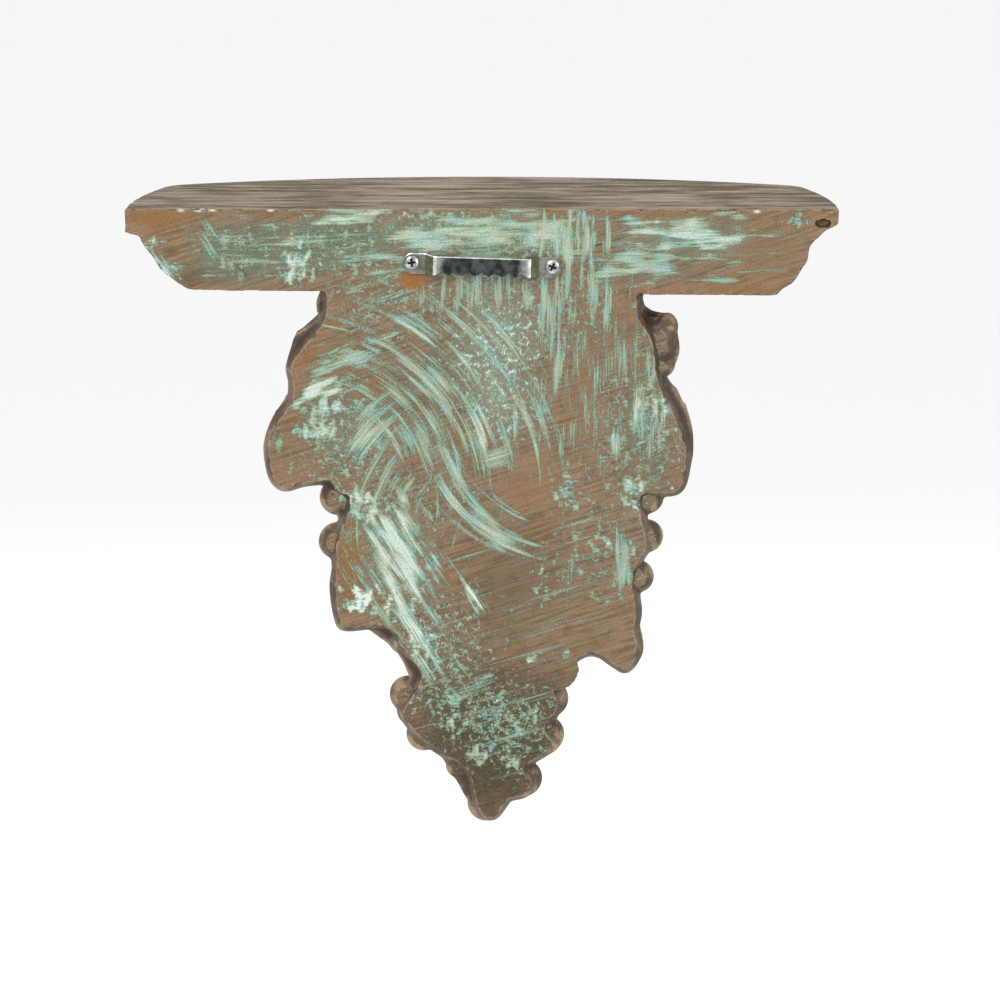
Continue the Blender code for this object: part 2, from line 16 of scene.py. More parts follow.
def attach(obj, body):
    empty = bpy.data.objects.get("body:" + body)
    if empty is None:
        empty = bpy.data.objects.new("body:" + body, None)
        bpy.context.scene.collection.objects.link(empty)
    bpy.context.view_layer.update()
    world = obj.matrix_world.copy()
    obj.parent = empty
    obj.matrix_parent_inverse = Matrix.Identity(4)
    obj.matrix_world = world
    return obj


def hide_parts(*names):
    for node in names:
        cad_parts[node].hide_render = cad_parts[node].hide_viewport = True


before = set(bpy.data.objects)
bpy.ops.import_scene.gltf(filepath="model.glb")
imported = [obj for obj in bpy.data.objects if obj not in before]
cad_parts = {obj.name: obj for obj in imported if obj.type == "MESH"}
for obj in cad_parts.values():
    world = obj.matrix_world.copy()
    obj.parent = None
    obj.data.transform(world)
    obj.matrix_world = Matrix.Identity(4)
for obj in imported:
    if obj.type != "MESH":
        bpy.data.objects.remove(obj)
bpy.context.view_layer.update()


# Shelf board and moulding
# The board is cast in one with the bracket, and its front edge is bowed. A cove and an ovolo run round the
# underside, and each end is worn to a profile of its own.
SHELF_WIDTH = 0.300
SHELF_DEPTH = 0.125
SHELF_TOP = 0.0265
BOARD_THICKNESS = 0.010
MOULDING_HEIGHT = 0.0254
MOULDING_INSET = 0.029
FRONT_RADIUS = 0.285
END_TAPER = 0.0133
CORNER_ROUND = 0.008

# Profiles down the moulding, in shares of its inset and of its height
FRONT_PROFILE = [
    (0.00, 0.00), (0.09, 0.02), (0.20, 0.05), (0.229, 0.191), (0.296, 0.280), (0.40, 0.32), (0.43, 0.44),
    (0.458, 0.613), (0.539, 0.769), (0.651, 0.882), (0.773, 0.954), (0.893, 0.990), (1.00, 1.00),
]
LEFT_END = [
    (0.00, 0.00), (0.09, 0.04), (0.20, 0.07), (0.23, 0.15), (0.28, 0.25), (0.34, 0.33), (0.40, 0.42),
    (0.50, 0.61), (0.59, 0.70), (0.67, 0.78), (0.76, 0.85), (0.89, 0.94), (0.99, 0.97),
]
RIGHT_END = [
    (0.01, -0.15), (0.07, -0.10), (0.20, -0.03), (0.30, 0.09), (0.41, 0.21), (0.43, 0.31), (0.46, 0.48),
    (0.53, 0.59), (0.59, 0.72), (0.68, 0.85), (0.83, 0.96), (0.90, 1.04), (1.03, 1.05),
]


def rounded(rows, steps, closed=False):
    """The rows with more between each pair, on a smooth curve through all of them."""
    rows = np.array(rows, float)
    if closed:
        run = np.vstack([rows[-1], rows, rows[0], rows[1]])
    else:
        run = np.vstack([2 * rows[0] - rows[1], rows, 2 * rows[-1] - rows[-2]])
    made = []
    for a, b, c, d in zip(run, run[1:], run[2:], run[3:]):
        for t in np.arange(steps) / steps:
            cubic = (3 * (b - c) + d - a) * t + 2 * a - 5 * b + 4 * c - d
            made.append(b + 0.5 * t * (c - a + t * cubic))
    if not closed:
        made.append(rows[-1])
    return np.array(made)


def skin(bm, rings):
    """Closed skin through rings of equal count, with a cap on the first and the last ring."""
    made = [[bm.verts.new([float(value) for value in point]) for point in ring] for ring in rings]
    for lower, upper in zip(made, made[1:]):
        for index in range(len(lower)):
            following = (index + 1) % len(lower)
            bm.faces.new((lower[index], lower[following], upper[following], upper[index]))
    bm.faces.new(made[0])
    bm.faces.new(reversed(made[-1]))


def board_point(stretch, share, inset):
    """Point of the left half of the board's plan, on its end, round its corner or on its bowed front."""
    corner_x = SHELF_WIDTH / 2 - END_TAPER - inset
    radius = FRONT_RADIUS - inset

    def front(x):
        return np.array((x, FRONT_RADIUS - SHELF_DEPTH - math.sqrt(radius * radius - x * x)))

    corner = front(corner_x)

    def end(along):
        return np.array((SHELF_WIDTH / 2 - inset - END_TAPER * along * along, along * corner[1]))

    straight = 1 + CORNER_ROUND / corner[1]
    after = front(corner_x - CORNER_ROUND)
    if stretch == "end":
        return end(straight * share)
    if stretch == "corner":
        return end(straight) * (1 - share) ** 2 + corner * 2 * share * (1 - share) + after * share * share
    return front(after[0] * (1 - share))


def board_and_moulding(bm):
    plan = [("end", share, 1 - 0.4 * share) for share in np.linspace(0, 1, 16)]
    plan += [("corner", share, 0.6 - 0.4 * share) for share in np.linspace(0, 1, 8)[1:]]
    plan += [("front", share, max(0.2 - share, 0.0)) for share in np.linspace(0, 1, 44)[1:]]
    order = [(1, place) for place in plan] + [(-1, place) for place in reversed(plan[:-1])]
    plain = rounded(FRONT_PROFILE, 3)
    worn = {1: rounded(LEFT_END, 3), -1: rounded(RIGHT_END, 3)}
    rings = [[]]
    for side, (stretch, share, _) in order:
        x, y = board_point(stretch, share, 0.0)
        rings[0].append((side * x, y, SHELF_TOP))
    for level in range(len(plain)):
        ring = []
        for side, (stretch, share, wear) in order:
            wear = wear * wear * (3 - 2 * wear)
            inset, drop = plain[level] * (1 - wear) + worn[side][level] * wear
            x, y = board_point(stretch, share, inset * MOULDING_INSET)
            ring.append((side * x, y, SHELF_TOP - BOARD_THICKNESS - drop * MOULDING_HEIGHT))
        rings.append(ring)
    skin(bm, rings)


# Bracket
# A flat backing with a wavy edge carries a full mass that narrows to a tip. Both are cast with the shelf.
# They are drawn in millimetres, across from the middle and down from the moulding, at the drawn size.
BODY_WIDTH = 0.180
BODY_HEIGHT = 0.2294
BODY_DEPTH = 0.080
BACKING_THICKNESS = 0.0095
BACKING_FLARE = 0.0030
MASS_SHY = 0.0020
MASS_SEAT = 0.45
BODY_TOP = SHELF_TOP - BOARD_THICKNESS - MOULDING_HEIGHT
DRAWN = (179.0, 77.0, 224.5)

BACK_EDGE = [
    (65.5, -9), (65, 6), (67, 13.5), (71.5, 19), (78, 27), (80, 32.5), (79, 38), (80, 46.5), (85.5, 53.5),
    (89, 62), (89.5, 68), (88, 76.5), (85.5, 80.5), (82, 81.5), (75, 79.5), (61, 78.5), (57, 82), (56, 90),
    (60, 101), (61.5, 108), (61, 116), (62, 125), (60, 138), (57, 140.5), (45, 139.5), (38, 141.5),
    (33, 150), (26, 159), (27, 165), (33.5, 176), (31, 181), (26, 187), (15, 195), (10, 197.5), (5, 203.5),
    (3.5, 210), (1.5, 216.5), (-1, 220.5), (-5, 220.5), (-8.5, 216), (-11, 213), (-18, 211), (-20, 206),
    (-17.5, 199.5), (-26.5, 193.5), (-30.5, 190), (-26.5, 183.5), (-31.5, 174), (-29, 161.5), (-35, 156.5),
    (-43, 151.5), (-49.5, 151.5), (-56.5, 156), (-61, 158), (-65, 152.5), (-65.5, 148), (-64, 141.5),
    (-65, 134), (-63.5, 121.5), (-65, 113.5), (-69, 105.5), (-67, 94), (-66, 87), (-68.5, 83.5),
    (-77, 83.5), (-83, 81.5), (-85.5, 71), (-85, 62), (-80, 50), (-75, 40), (-73, 33), (-72, 24),
    (-70, 17.5), (-65, 8.5), (-65.5, -9),
]

# Down, half-width, depth and half-width of the foot
MASS = np.array([
    (-9, 54, 76, 60), (30, 55, 77, 68), (70, 56, 73, 70), (95, 55, 66, 61), (115, 53, 58, 60),
    (135, 46, 49, 56), (152, 34, 40, 36), (172, 25, 31, 28), (190, 19, 22, 21), (205, 11, 14, 12),
    (219, 4, 9, 4),
], float)


def across(value):
    return value / DRAWN[0] * BODY_WIDTH


def outward(value):
    return value / DRAWN[1] * BODY_DEPTH


def height(down):
    return BODY_TOP - down / DRAWN[2] * BODY_HEIGHT


def backing(bm):
    """Slab with its edge drawn on the flat back. Its wall flares forwards and its front edge is rounded."""
    drawn = rounded(BACK_EDGE, 5)
    flat = np.column_stack([across(drawn[:, 0]), height(drawn[:, 1])])
    run = np.gradient(flat, axis=0)
    away = np.column_stack([-run[:, 1], run[:, 0]]) / np.linalg.norm(run, axis=1)[:, None]
    rings = []
    for deep, flare in ((0.0, 0.0), (0.12, 0.12), (0.35, 0.55), (0.62, 0.9), (0.85, 0.95), (1.0, 0.55)):
        edge = flat + away * BACKING_FLARE * flare
        rings.append([(x, -BACKING_THICKNESS * deep, z) for x, z in edge])
    skin(bm, rings)


def mass(bm):
    """Half-round section on a wider foot, narrowing to the tip, a little under the grapes' own line."""
    back = BACKING_THICKNESS * MASS_SEAT
    rings = []
    for down, half_width, depth, foot in rounded(MASS, 4):
        ring = []
        for turn in np.linspace(0, math.pi, 49):
            spread = (foot - half_width) * (1 - math.sin(turn)) ** 2
            x = across(half_width + spread) * math.cos(turn)
            ring.append((x, -back - (outward(depth) - MASS_SHY - back) * math.sin(turn), height(down)))
        rings.append(ring)
    skin(bm, rings)


# Vine leaves
# Three leaves spread under the moulding and two small ones flank the bunch. Each is cast with a raised rib
# along its veins, side veins cut in a herringbone, and a toothed edge that turns down.
LEAF_LIFT = 0.0065
LEAF_RIM = 9.0
LEAF_CROWN = 4.0
LEAF_BELL_SHARE = 1.03
LEAF_SHOULDER = 0.85
NARROW_LEAF_REACH = 0.45
VEIN_DEPTH = 0.0026
VEIN_SPREAD = 5.0
RIB_HEIGHT = 0.0010
RIB_WIDTH = 1.2
SIDE_VEIN_DEPTH = 0.0009
SIDE_VEIN_SPACING = 7.5
SIDE_VEIN_START = 1.2
SIDE_VEIN_FADE = 3
SIDE_VEIN_SLANT = 0.8
SIDE_VEIN_SHARPNESS = 5
LEAF_RINGS = 29
LEAF_TOOTH_STEPS = 6
LEAF_WAVES = 9
LEAF_WALL = 0.0016
LEAF_SEAT = 0.55
LEAF_EDGE_DROP = 0.0020
LEAF_TOOTH = 0.8
LEAF_WAVE = 0.0010

SIDE_LEAF_LEFT = {
    "veins_meet": (52, 17),
    "edge": [
        (58, -6), (68.5, 2), (69.5, 8), (69, 11.5), (78, 18), (80.5, 24), (82.5, 32), (80, 38.5), (83, 45),
        (87.5, 51.5), (89.5, 60), (89, 68), (88, 77), (83, 81.5), (73, 80), (64, 76), (57, 71), (50, 80),
        (45, 88), (41, 78), (40, 66), (31, 66), (24, 59), (29, 49), (31, 38), (24, 28), (28, 14), (38, 2),
        (42, -6),
    ],
    "tips": [(78, 19), (88, 75), (45, 88), (24, 60), (24, 28)],
    "lift": 0.0,
}
SIDE_LEAF_RIGHT = {
    "veins_meet": (-51, 17),
    "edge": [
        (-58, -6), (-67, 4), (-70, 9.5), (-76.5, 10.5), (-81, 14), (-83, 23), (-81.5, 30), (-77, 34.5),
        (-82, 42), (-86, 48.5), (-88.5, 57), (-89, 67), (-87, 76), (-82, 82), (-74, 84), (-65, 78),
        (-58, 72), (-52, 82), (-47, 90), (-43, 80), (-41, 68), (-32, 68), (-25, 61), (-30, 50), (-32, 39),
        (-24, 29), (-28, 14), (-38, 2), (-42, -6),
    ],
    "tips": [(-82, 17), (-88, 74), (-47, 90), (-25, 62), (-24, 29)],
    "lift": 0.0,
}
MIDDLE_LEAF = {
    "veins_meet": (0, 18),
    "edge": [
        (0, -6), (14, -5), (26, -5), (36, 4), (34, 14), (43, 22), (47, 34), (39, 41), (30, 42), (36, 52),
        (35, 63), (26, 66), (18, 62), (12, 72), (8, 84), (-1, 94), (-9, 83), (-12, 71), (-19, 62),
        (-27, 67), (-37, 62), (-36, 51), (-30, 42), (-40, 42), (-48, 33), (-43, 21), (-34, 14), (-37, 3),
        (-26, -5), (-14, -5),
    ],
    "tips": [(35, 5), (46, 34), (34, 64), (-1, 93), (-35, 64), (-47, 33), (-36, 4)],
    "lift": 6.0,
}
LOWER_LEAF_LEFT = {
    "veins_meet": (46, 104),
    "edge": [
        (46, 92), (56, 98), (62, 108), (63.5, 118), (61, 126), (62, 136), (57, 142), (47, 139), (39, 141),
        (33, 134), (34, 122), (30, 112), (36, 100),
    ],
    "tips": [(62, 112), (58, 140), (35, 136), (31, 112)],
    "lift": -3.0,
}
LOWER_LEAF_RIGHT = {
    "veins_meet": (-48, 116),
    "edge": [
        (-48, 104), (-58, 108), (-64, 118), (-64, 130), (-66.5, 139), (-68.5, 149), (-66, 156), (-60, 158.5),
        (-52, 153), (-44, 151.5), (-36, 154), (-33, 146), (-36, 134), (-33, 122), (-40, 110),
    ],
    "tips": [(-64, 120), (-62, 157), (-67, 146), (-35, 152), (-34, 122)],
    "lift": -3.0,
}
LEAVES = [SIDE_LEAF_LEFT, SIDE_LEAF_RIGHT, MIDDLE_LEAF, LOWER_LEAF_LEFT, LOWER_LEAF_RIGHT]


def leaf_face(points, leaf, share):
    """How far the leaf's face stands off the flat back at drawn points, a share of the way to its edge."""
    half_width = np.interp(points[:, 1], MASS[:, 0], MASS[:, 1])
    depth = np.interp(points[:, 1], MASS[:, 0], MASS[:, 2])
    spread = NARROW_LEAF_REACH + (1 - NARROW_LEAF_REACH) * half_width / MASS[2, 1]
    reach = np.minimum(np.abs(points[:, 0]) / (DRAWN[0] / 2 * LEAF_BELL_SHARE * spread), 1)
    bell = (0.5 + 0.5 * np.cos(np.pi * reach)) ** LEAF_SHOULDER
    bed = LEAF_RIM + (depth - LEAF_RIM + LEAF_CROWN) * bell + leaf["lift"]
    start = np.array(leaf["veins_meet"], float)
    gap = np.full(len(points), 1e9)
    along = np.zeros(len(points))
    for tip in leaf["tips"]:
        vein = np.array(tip, float) - start
        length = np.linalg.norm(vein)
        reached = np.clip((points - start) @ vein / length, 0, length)
        aside = np.linalg.norm(points - start - reached[:, None] * vein / length, axis=1)
        along = np.where(aside < gap, reached, along)
        gap = np.minimum(aside, gap)
    fullness = 1 - np.exp(-((gap / VEIN_SPREAD) ** 2))
    rib = np.exp(-((gap / RIB_WIDTH) ** 2)) * (1 - share**4)
    clear = np.clip((gap - SIDE_VEIN_START) / SIDE_VEIN_FADE, 0, 1)
    beat = 2 * np.pi * (along - gap * SIDE_VEIN_SLANT) / SIDE_VEIN_SPACING
    side_vein = (0.5 + 0.5 * np.cos(beat)) ** SIDE_VEIN_SHARPNESS * clear
    face = outward(bed) + LEAF_LIFT - LEAF_EDGE_DROP * share**4
    return face + VEIN_DEPTH * fullness + RIB_HEIGHT * rib - SIDE_VEIN_DEPTH * side_vein


def vine_leaf(bm, leaf):
    """Leaf from its veins' meeting out to a toothed edge, closed by a wall down into the backing."""
    centre = np.array(leaf["veins_meet"], float)
    edge = rounded(leaf["edge"], LEAF_TOOTH_STEPS, closed=True)
    run = np.roll(edge, -1, axis=0) - np.roll(edge, 1, axis=0)
    away = np.column_stack([run[:, 1], -run[:, 0]]) / np.linalg.norm(run, axis=1)[:, None]
    away *= np.sign(np.sum(away * (edge - centre)))
    beat = np.arange(len(edge)) % LEAF_TOOTH_STEPS / LEAF_TOOTH_STEPS
    toothed = edge + away * (LEAF_TOOTH * (1 - beat) ** 1.5 - LEAF_TOOTH)[:, None]
    wave = np.sin(np.arange(len(edge)) / len(edge) * 2 * np.pi * LEAF_WAVES + centre[0])
    rings = []
    for share in np.linspace(0.0, 1.0, LEAF_RINGS + 1)[1:]:
        points = centre + (toothed - centre) * share
        face = leaf_face(points, leaf, share) + LEAF_WAVE * wave * share**6
        rings.append([(across(x), -far, height(down)) for (x, down), far in zip(points, face)])
    floor = -BACKING_THICKNESS * LEAF_SEAT
    rings.append([(x, y + LEAF_WALL, z) for x, y, z in rings[-1]])
    rings.append([(across(x), floor, height(down)) for x, down in edge])
    skin(bm, rings)


# Bunch of grapes
# Grapes, cast with the leaves, fill the mass from its tip up to the leaves. Those of the rim show from
# behind. Each is a little longer than wide and turned its own way.
GRAPE_RADIUS = 0.0091
GRAPE_SIZE_RANGE = (0.94, 1.06)
GRAPE_CLOSENESS = 0.94
GRAPE_SINK = 0.55
GRAPE_SHOWS = 0.55
GRAPE_LEAF_SHARE = 0.72
GRAPE_ROWS = 90
GRAPE_TRIES = 60
GRAPES_UP_TO = 0.18
GRAPE_AROUND = 28
GRAPE_LONGER = 1.05
GRAPE_SEED = 7

# Grapes of the rim: x, down, radius and how far in front of the flat back
RIM_GRAPES = [
    (61.5, 87, 7.2, 9), (61.3, 105, 7.8, 9), (59.6, 121, 7.2, 9), (57, 135.5, 7.6, 9),
    (33.2, 146.5, 6.7, 8), (31.9, 170, 7.6, 9), (25.2, 187, 7.2, 9), (9.2, 199.5, 6.4, 8),
    (-1.7, 216, 8.3, 9), (-16.8, 205.5, 8.4, 9), (-26.5, 187, 8.4, 9), (-28.1, 171.5, 8.4, 9),
    (-63.8, 134.5, 6.9, 9), (-65.5, 120, 7.1, 9), (-69.2, 103, 7.2, 9), (-69.5, 87, 6.8, 9),
]


def under_leaf(centre, radius):
    """True where a leaf would cover most of a grape."""
    point = Vector((centre.x / BODY_WIDTH * DRAWN[0], (BODY_TOP - centre.z) / BODY_HEIGHT * DRAWN[2]))
    for leaf in LEAVES:
        edge = [Vector(corner) for corner in leaf["edge"]]
        middle = Vector(leaf["veins_meet"])
        pairs = zip(edge, edge[1:] + edge[:1])
        if any(geometry.intersect_point_tri_2d(point, middle, a, b) for a, b in pairs):
            face = leaf_face(np.array([point]), leaf, GRAPE_LEAF_SHARE)[0]
            if face > -centre.y + radius * GRAPE_SHOWS:
                return True
    return False


def grape_places():
    """Centres and radii: those of the rim as drawn, then the mass filled from the tip upwards."""
    draw = random.Random(GRAPE_SEED)
    made = []
    for x, down, radius, forward in RIM_GRAPES:
        made.append((Vector((across(x), -outward(forward), height(down))), across(radius)))
    tip, top = MASS[-1, 0], DRAWN[2] * GRAPES_UP_TO
    for row in range(GRAPE_ROWS):
        down = tip - (tip - top) * row / GRAPE_ROWS
        half_width = np.interp(down, MASS[:, 0], MASS[:, 1])
        depth = np.interp(down, MASS[:, 0], MASS[:, 2])
        first = draw.random()
        for index in range(GRAPE_TRIES):
            turn = math.pi * ((index + first) / GRAPE_TRIES - 0.5)
            radius = GRAPE_RADIUS * draw.uniform(*GRAPE_SIZE_RANGE)
            forward = BACKING_THICKNESS * MASS_SEAT + outward(depth) * math.cos(turn) - radius * GRAPE_SINK
            centre = Vector((across(half_width) * math.sin(turn), -forward, height(down)))
            if all((centre - other).length > GRAPE_CLOSENESS * (radius + size) for other, size in made):
                made.append((centre, radius))
    return [place for place in made if not under_leaf(*place)]


def node(tree, kind, settings=None, inputs=None):
    """New node of a tree, with its settings made and its inputs given a value or joined to a socket."""
    made = tree.nodes.new(kind)
    for name, value in (settings or {}).items():
        setattr(made, name, value)
    for name, value in (inputs or {}).items():
        if isinstance(value, bpy.types.NodeSocket):
            tree.links.new(value, made.inputs[name])
        else:
            made.inputs[name].default_value = value
    return made


def bunch_tree(skin_material):
    """Puts a grape at each point, turned at random and scaled by the point's own size."""
    tree = bpy.data.node_groups.new("bunch_of_grapes", "GeometryNodeTree")
    for name, kind in (("Places", "Geometry"), ("Around", "Int"), ("Longer", "Float"), ("Seed", "Int")):
        tree.interface.new_socket(name, in_out="INPUT", socket_type="NodeSocket" + kind)
    tree.interface.new_socket("Grapes", in_out="OUTPUT", socket_type="NodeSocketGeometry")
    given = node(tree, "NodeGroupInput")
    ball = node(tree, "GeometryNodeMeshUVSphere", inputs={"Segments": given.outputs["Around"], "Rings": 18})
    place = node(tree, "GeometryNodeInputPosition")
    length = node(tree, "ShaderNodeCombineXYZ", inputs={"X": 1.0, "Y": 1.0, "Z": given.outputs["Longer"]})
    egg = node(
        tree, "ShaderNodeVectorMath", {"operation": "MULTIPLY"},
        {0: place.outputs["Position"], 1: length.outputs["Vector"]},
    )
    grape = node(
        tree, "GeometryNodeSetPosition",
        inputs={"Geometry": ball.outputs["Mesh"], "Position": egg.outputs["Vector"]},
    )
    turn = node(
        tree, "FunctionNodeRandomValue", {"data_type": "FLOAT_VECTOR"}, {"Seed": given.outputs["Seed"]}
    )
    turn.inputs[1].default_value = (math.tau, math.tau, math.tau)
    size = node(tree, "GeometryNodeInputNamedAttribute", {"data_type": "FLOAT"}, {"Name": "size"})
    points = node(tree, "GeometryNodeMeshToPoints", inputs={"Mesh": given.outputs["Places"]})
    spread = node(
        tree, "GeometryNodeInstanceOnPoints",
        inputs={
            "Points": points.outputs["Points"], "Instance": grape.outputs["Geometry"],
            "Rotation": turn.outputs[0], "Scale": size.outputs["Attribute"],
        },
    )
    real = node(tree, "GeometryNodeRealizeInstances", inputs={"Geometry": spread.outputs["Instances"]})
    finish = node(
        tree, "GeometryNodeSetMaterial",
        inputs={"Geometry": real.outputs["Geometry"], "Material": skin_material},
    )
    node(tree, "NodeGroupOutput", inputs={"Grapes": finish.outputs["Geometry"]})
    return tree


def placed(name, mesh):
    """New object of a mesh, in the scene."""
    made = bpy.data.objects.new(name, mesh)
    bpy.context.scene.collection.objects.link(made)
    return made


def settled(carrier):
    """The mesh that an object's modifiers make. The object itself is removed."""
    bpy.context.view_layer.update()
    evaluated = carrier.evaluated_get(bpy.context.evaluated_depsgraph_get())
    made = bpy.data.meshes.new_from_object(evaluated)
    carrier.modifiers.clear()
    bpy.data.objects.remove(carrier)
    return made


def run_tree(name, mesh, tree, values):
    """Plain mesh that a tree makes from a mesh, with the tree's inputs set by their sockets' identifiers."""
    carrier = placed(name, mesh)
    modifier = carrier.modifiers.new(name, "NODES")
    modifier.node_group = tree
    for item in tree.interface.items_tree:
        if item.name in values and item.in_out == "INPUT":
            modifier[item.identifier] = values[item.name]
    return settled(carrier)


def bunch_of_grapes(bm, skin_material):
    places = grape_places()
    points = bpy.data.meshes.new("grape_places")
    points.from_pydata([centre for centre, _ in places], [], [])
    size = points.attributes.new("size", "FLOAT", "POINT")
    size.data.foreach_set("value", [radius for _, radius in places])
    values = {"Around": GRAPE_AROUND, "Longer": GRAPE_LONGER, "Seed": GRAPE_SEED}
    bm.from_mesh(run_tree("grapes", points, bunch_tree(skin_material), values))


# Casting
# Board, bracket, leaves and grapes are one casting of filled resin. They run together with soft creases, as
# a mould leaves them, and the flat back and the top of the board are struck off flat.
VOXEL = 0.00075
MOST_TRIANGLES = 190000
FLAT_REACH = 0.0006
FLAT_FACING = 0.9
CAST_WAVE = 0.00016
BACK_ARRIS = 0.0022
TOP_ARRIS = 0.0020
ARRIS_FACING = 0.93
CHIP_SIZE = 0.0036
CHIP_START = 0.12
CHIP_STEEPNESS = 3.2
CHIP_DEPTH = 0.0009
BUBBLE_AT = (-0.1432, 0.0204)
BUBBLE_SIZE = (0.0030, 0.0016)
BUBBLE_DEPTH = 0.0030
BEND_ROUNDS = 14

# Balls of the curled lobe: x, down, how far in front of the flat back, and three radii
LOBE_BALLS = [
    (-74.5, 21, 9.5, (7.6, 7.0, 12.0)), (-77.5, 15, 8.5, (5.0, 5.0, 6.0)), (-76, 31, 7.5, (5.2, 5.0, 5.0)),
]

# Hollows of the curled lobe: x, down, how far in front of the flat back, radius and depth
LOBE_HOLLOWS = [(-71.5, 9.5, 6.5, 6.0, 4.2), (-78.0, 27.5, 2.5, 3.4, 1.2)]


def mesh_of(bm, name):
    """New mesh of what was built in bm, which is then let go."""
    mesh = bpy.data.meshes.new(name)
    bm.to_mesh(mesh)
    bm.free()
    return mesh


def casting_forms(skin_material):
    """Every form of the casting as one mesh of closed, crossing skins."""
    bm = bmesh.new()
    board_and_moulding(bm)
    backing(bm)
    mass(bm)
    for leaf in LEAVES:
        vine_leaf(bm, leaf)
    curled_lobe(bm)
    bmesh.ops.recalc_face_normals(bm, faces=bm.faces)
    bunch_of_grapes(bm, skin_material)
    for corner in bm.verts:
        corner.co.y = min(corner.co.y, 0.0)
    return mesh_of(bm, "casting_forms")


def curled_lobe(bm):
    """The right side leaf's top lobe, which rolls back over the edge of the backing into a small scroll."""
    for x, down, forward, radii in LOBE_BALLS:
        place = Matrix.Translation((across(x), -outward(forward), height(down)))
        scale = Matrix.Diagonal((*[radius / 1000 for radius in radii], 1.0))
        bmesh.ops.create_uvsphere(bm, u_segments=40, v_segments=24, radius=1.0, matrix=place @ scale)


def merged(mesh):
    """The crossing skins made one, at an even grain, and smoothed a little."""
    carrier = placed("casting_forms", mesh)
    remesh = carrier.modifiers.new("remesh", "REMESH")
    remesh.mode = "VOXEL"
    remesh.voxel_size = VOXEL
    smooth = carrier.modifiers.new("smooth", "SMOOTH")
    smooth.factor = 0.5
    smooth.iterations = 2
    return settled(carrier)


def triples(items, name):
    """Three numbers of every item, a row each."""
    values = np.empty(len(items) * 3, np.float32)
    items.foreach_get(name, values)
    return values.reshape(-1, 3)


def corners(mesh):
    return triples(mesh.vertices, "co").astype(float)


def outward_directions(mesh):
    return triples(mesh.vertex_normals, "vector").astype(float)


def cast_noise(points, size, shift=0.0):
    """Smooth noise of about one feature per size, from -1 to 1, at each point."""
    scaled = points / size + shift
    return np.array([noise.noise(Vector(point)) for point in scaled])


def weathered(mesh):
    """Moves the corners: slight waves of the cast, chipped arrises, the curl's hollows, the open bubble."""
    points = corners(mesh)
    normals = outward_directions(mesh)
    wave = cast_noise(points, 0.007) * 0.7 + cast_noise(points, 0.0024, 5.0) * 0.3
    inwards = CAST_WAVE * (0.5 + 0.5 * wave)
    near_back = np.clip(1 + points[:, 1] / BACK_ARRIS, 0, 1) * (normals[:, 1] < ARRIS_FACING)
    near_top = np.clip(1 - (SHELF_TOP - points[:, 2]) / TOP_ARRIS, 0, 1) * (normals[:, 2] < ARRIS_FACING)
    chips = np.clip((cast_noise(points, CHIP_SIZE, 11.0) - CHIP_START) * CHIP_STEEPNESS, 0, 1)
    inwards = inwards + CHIP_DEPTH * chips * np.maximum(near_back, near_top)
    points = points - normals * inwards[:, None]
    for x, down, forward, radius, depth in LOBE_HOLLOWS:
        centre = np.array((across(x), -outward(forward), height(down)))
        reach = np.linalg.norm(points - centre, axis=1) / (radius / 1000)
        press = np.clip(1 - reach, 0, 1)
        points = points - normals * (press * press * (3 - 2 * press) * depth / 1000)[:, None]
    bubble = ((points[:, 0] - BUBBLE_AT[0]) / BUBBLE_SIZE[0]) ** 2
    bubble = bubble + ((points[:, 2] - BUBBLE_AT[1]) / BUBBLE_SIZE[1]) ** 2
    sunk = np.clip(1.4 - bubble, 0, 1) * (normals[:, 1] > 0.6) * (points[:, 1] > -0.004)
    flat = (points[:, 1] > -FLAT_REACH) & (normals[:, 1] > FLAT_FACING)
    points[:, 1] = np.where(flat, 0.0, points[:, 1])
    top = (points[:, 2] > SHELF_TOP - FLAT_REACH) & (normals[:, 2] > FLAT_FACING)
    points[:, 2] = np.where(top, SHELF_TOP, points[:, 2])
    points[:, 1] -= BUBBLE_DEPTH * np.minimum(sunk * 2, 1)
    mesh.vertices.foreach_set("co", points.astype(np.float32).ravel())
    mesh.update()


def bend(mesh):
    """How far each corner stands out from its surroundings: above 0 on an edge, below 0 in a crease."""
    points = corners(mesh)
    edges = np.empty(len(mesh.edges) * 2, np.int32)
    mesh.edges.foreach_get("vertices", edges)
    edges = edges.reshape(-1, 2)
    count = np.bincount(edges.ravel(), minlength=len(points))[:, None]
    smoothed = points.copy()
    for _ in range(BEND_ROUNDS):
        total = np.zeros_like(smoothed)
        for axis in range(3):
            total[:, axis] = np.bincount(edges[:, 0], smoothed[edges[:, 1], axis], len(points))
            total[:, axis] += np.bincount(edges[:, 1], smoothed[edges[:, 0], axis], len(points))
        smoothed = 0.4 * smoothed + 0.6 * total / np.maximum(count, 1)
    return np.sum((points - smoothed) * outward_directions(mesh), axis=1)


def thinned(mesh, most):
    """The same surface with at most so many triangles, fewest where it is flat."""
    carrier = placed("casting_thinned", mesh)
    mesh.calc_loop_triangles()
    decimate = carrier.modifiers.new("decimate", "DECIMATE")
    decimate.ratio = most / len(mesh.loop_triangles)
    decimate.use_collapse_triangulate = True
    return settled(carrier)


def carry_over(fine, values, coarse, name):
    """Gives each corner of the coarse mesh the value of the nearest corner of the fine one."""
    tree = kdtree.KDTree(len(fine))
    for index, point in enumerate(fine):
        tree.insert(point, index)
    tree.balance()
    found = np.array([values[tree.find(vertex.co)[1]] for vertex in coarse.vertices], np.float32)
    coarse.attributes.new(name, "FLOAT", "POINT").data.foreach_set("value", found)


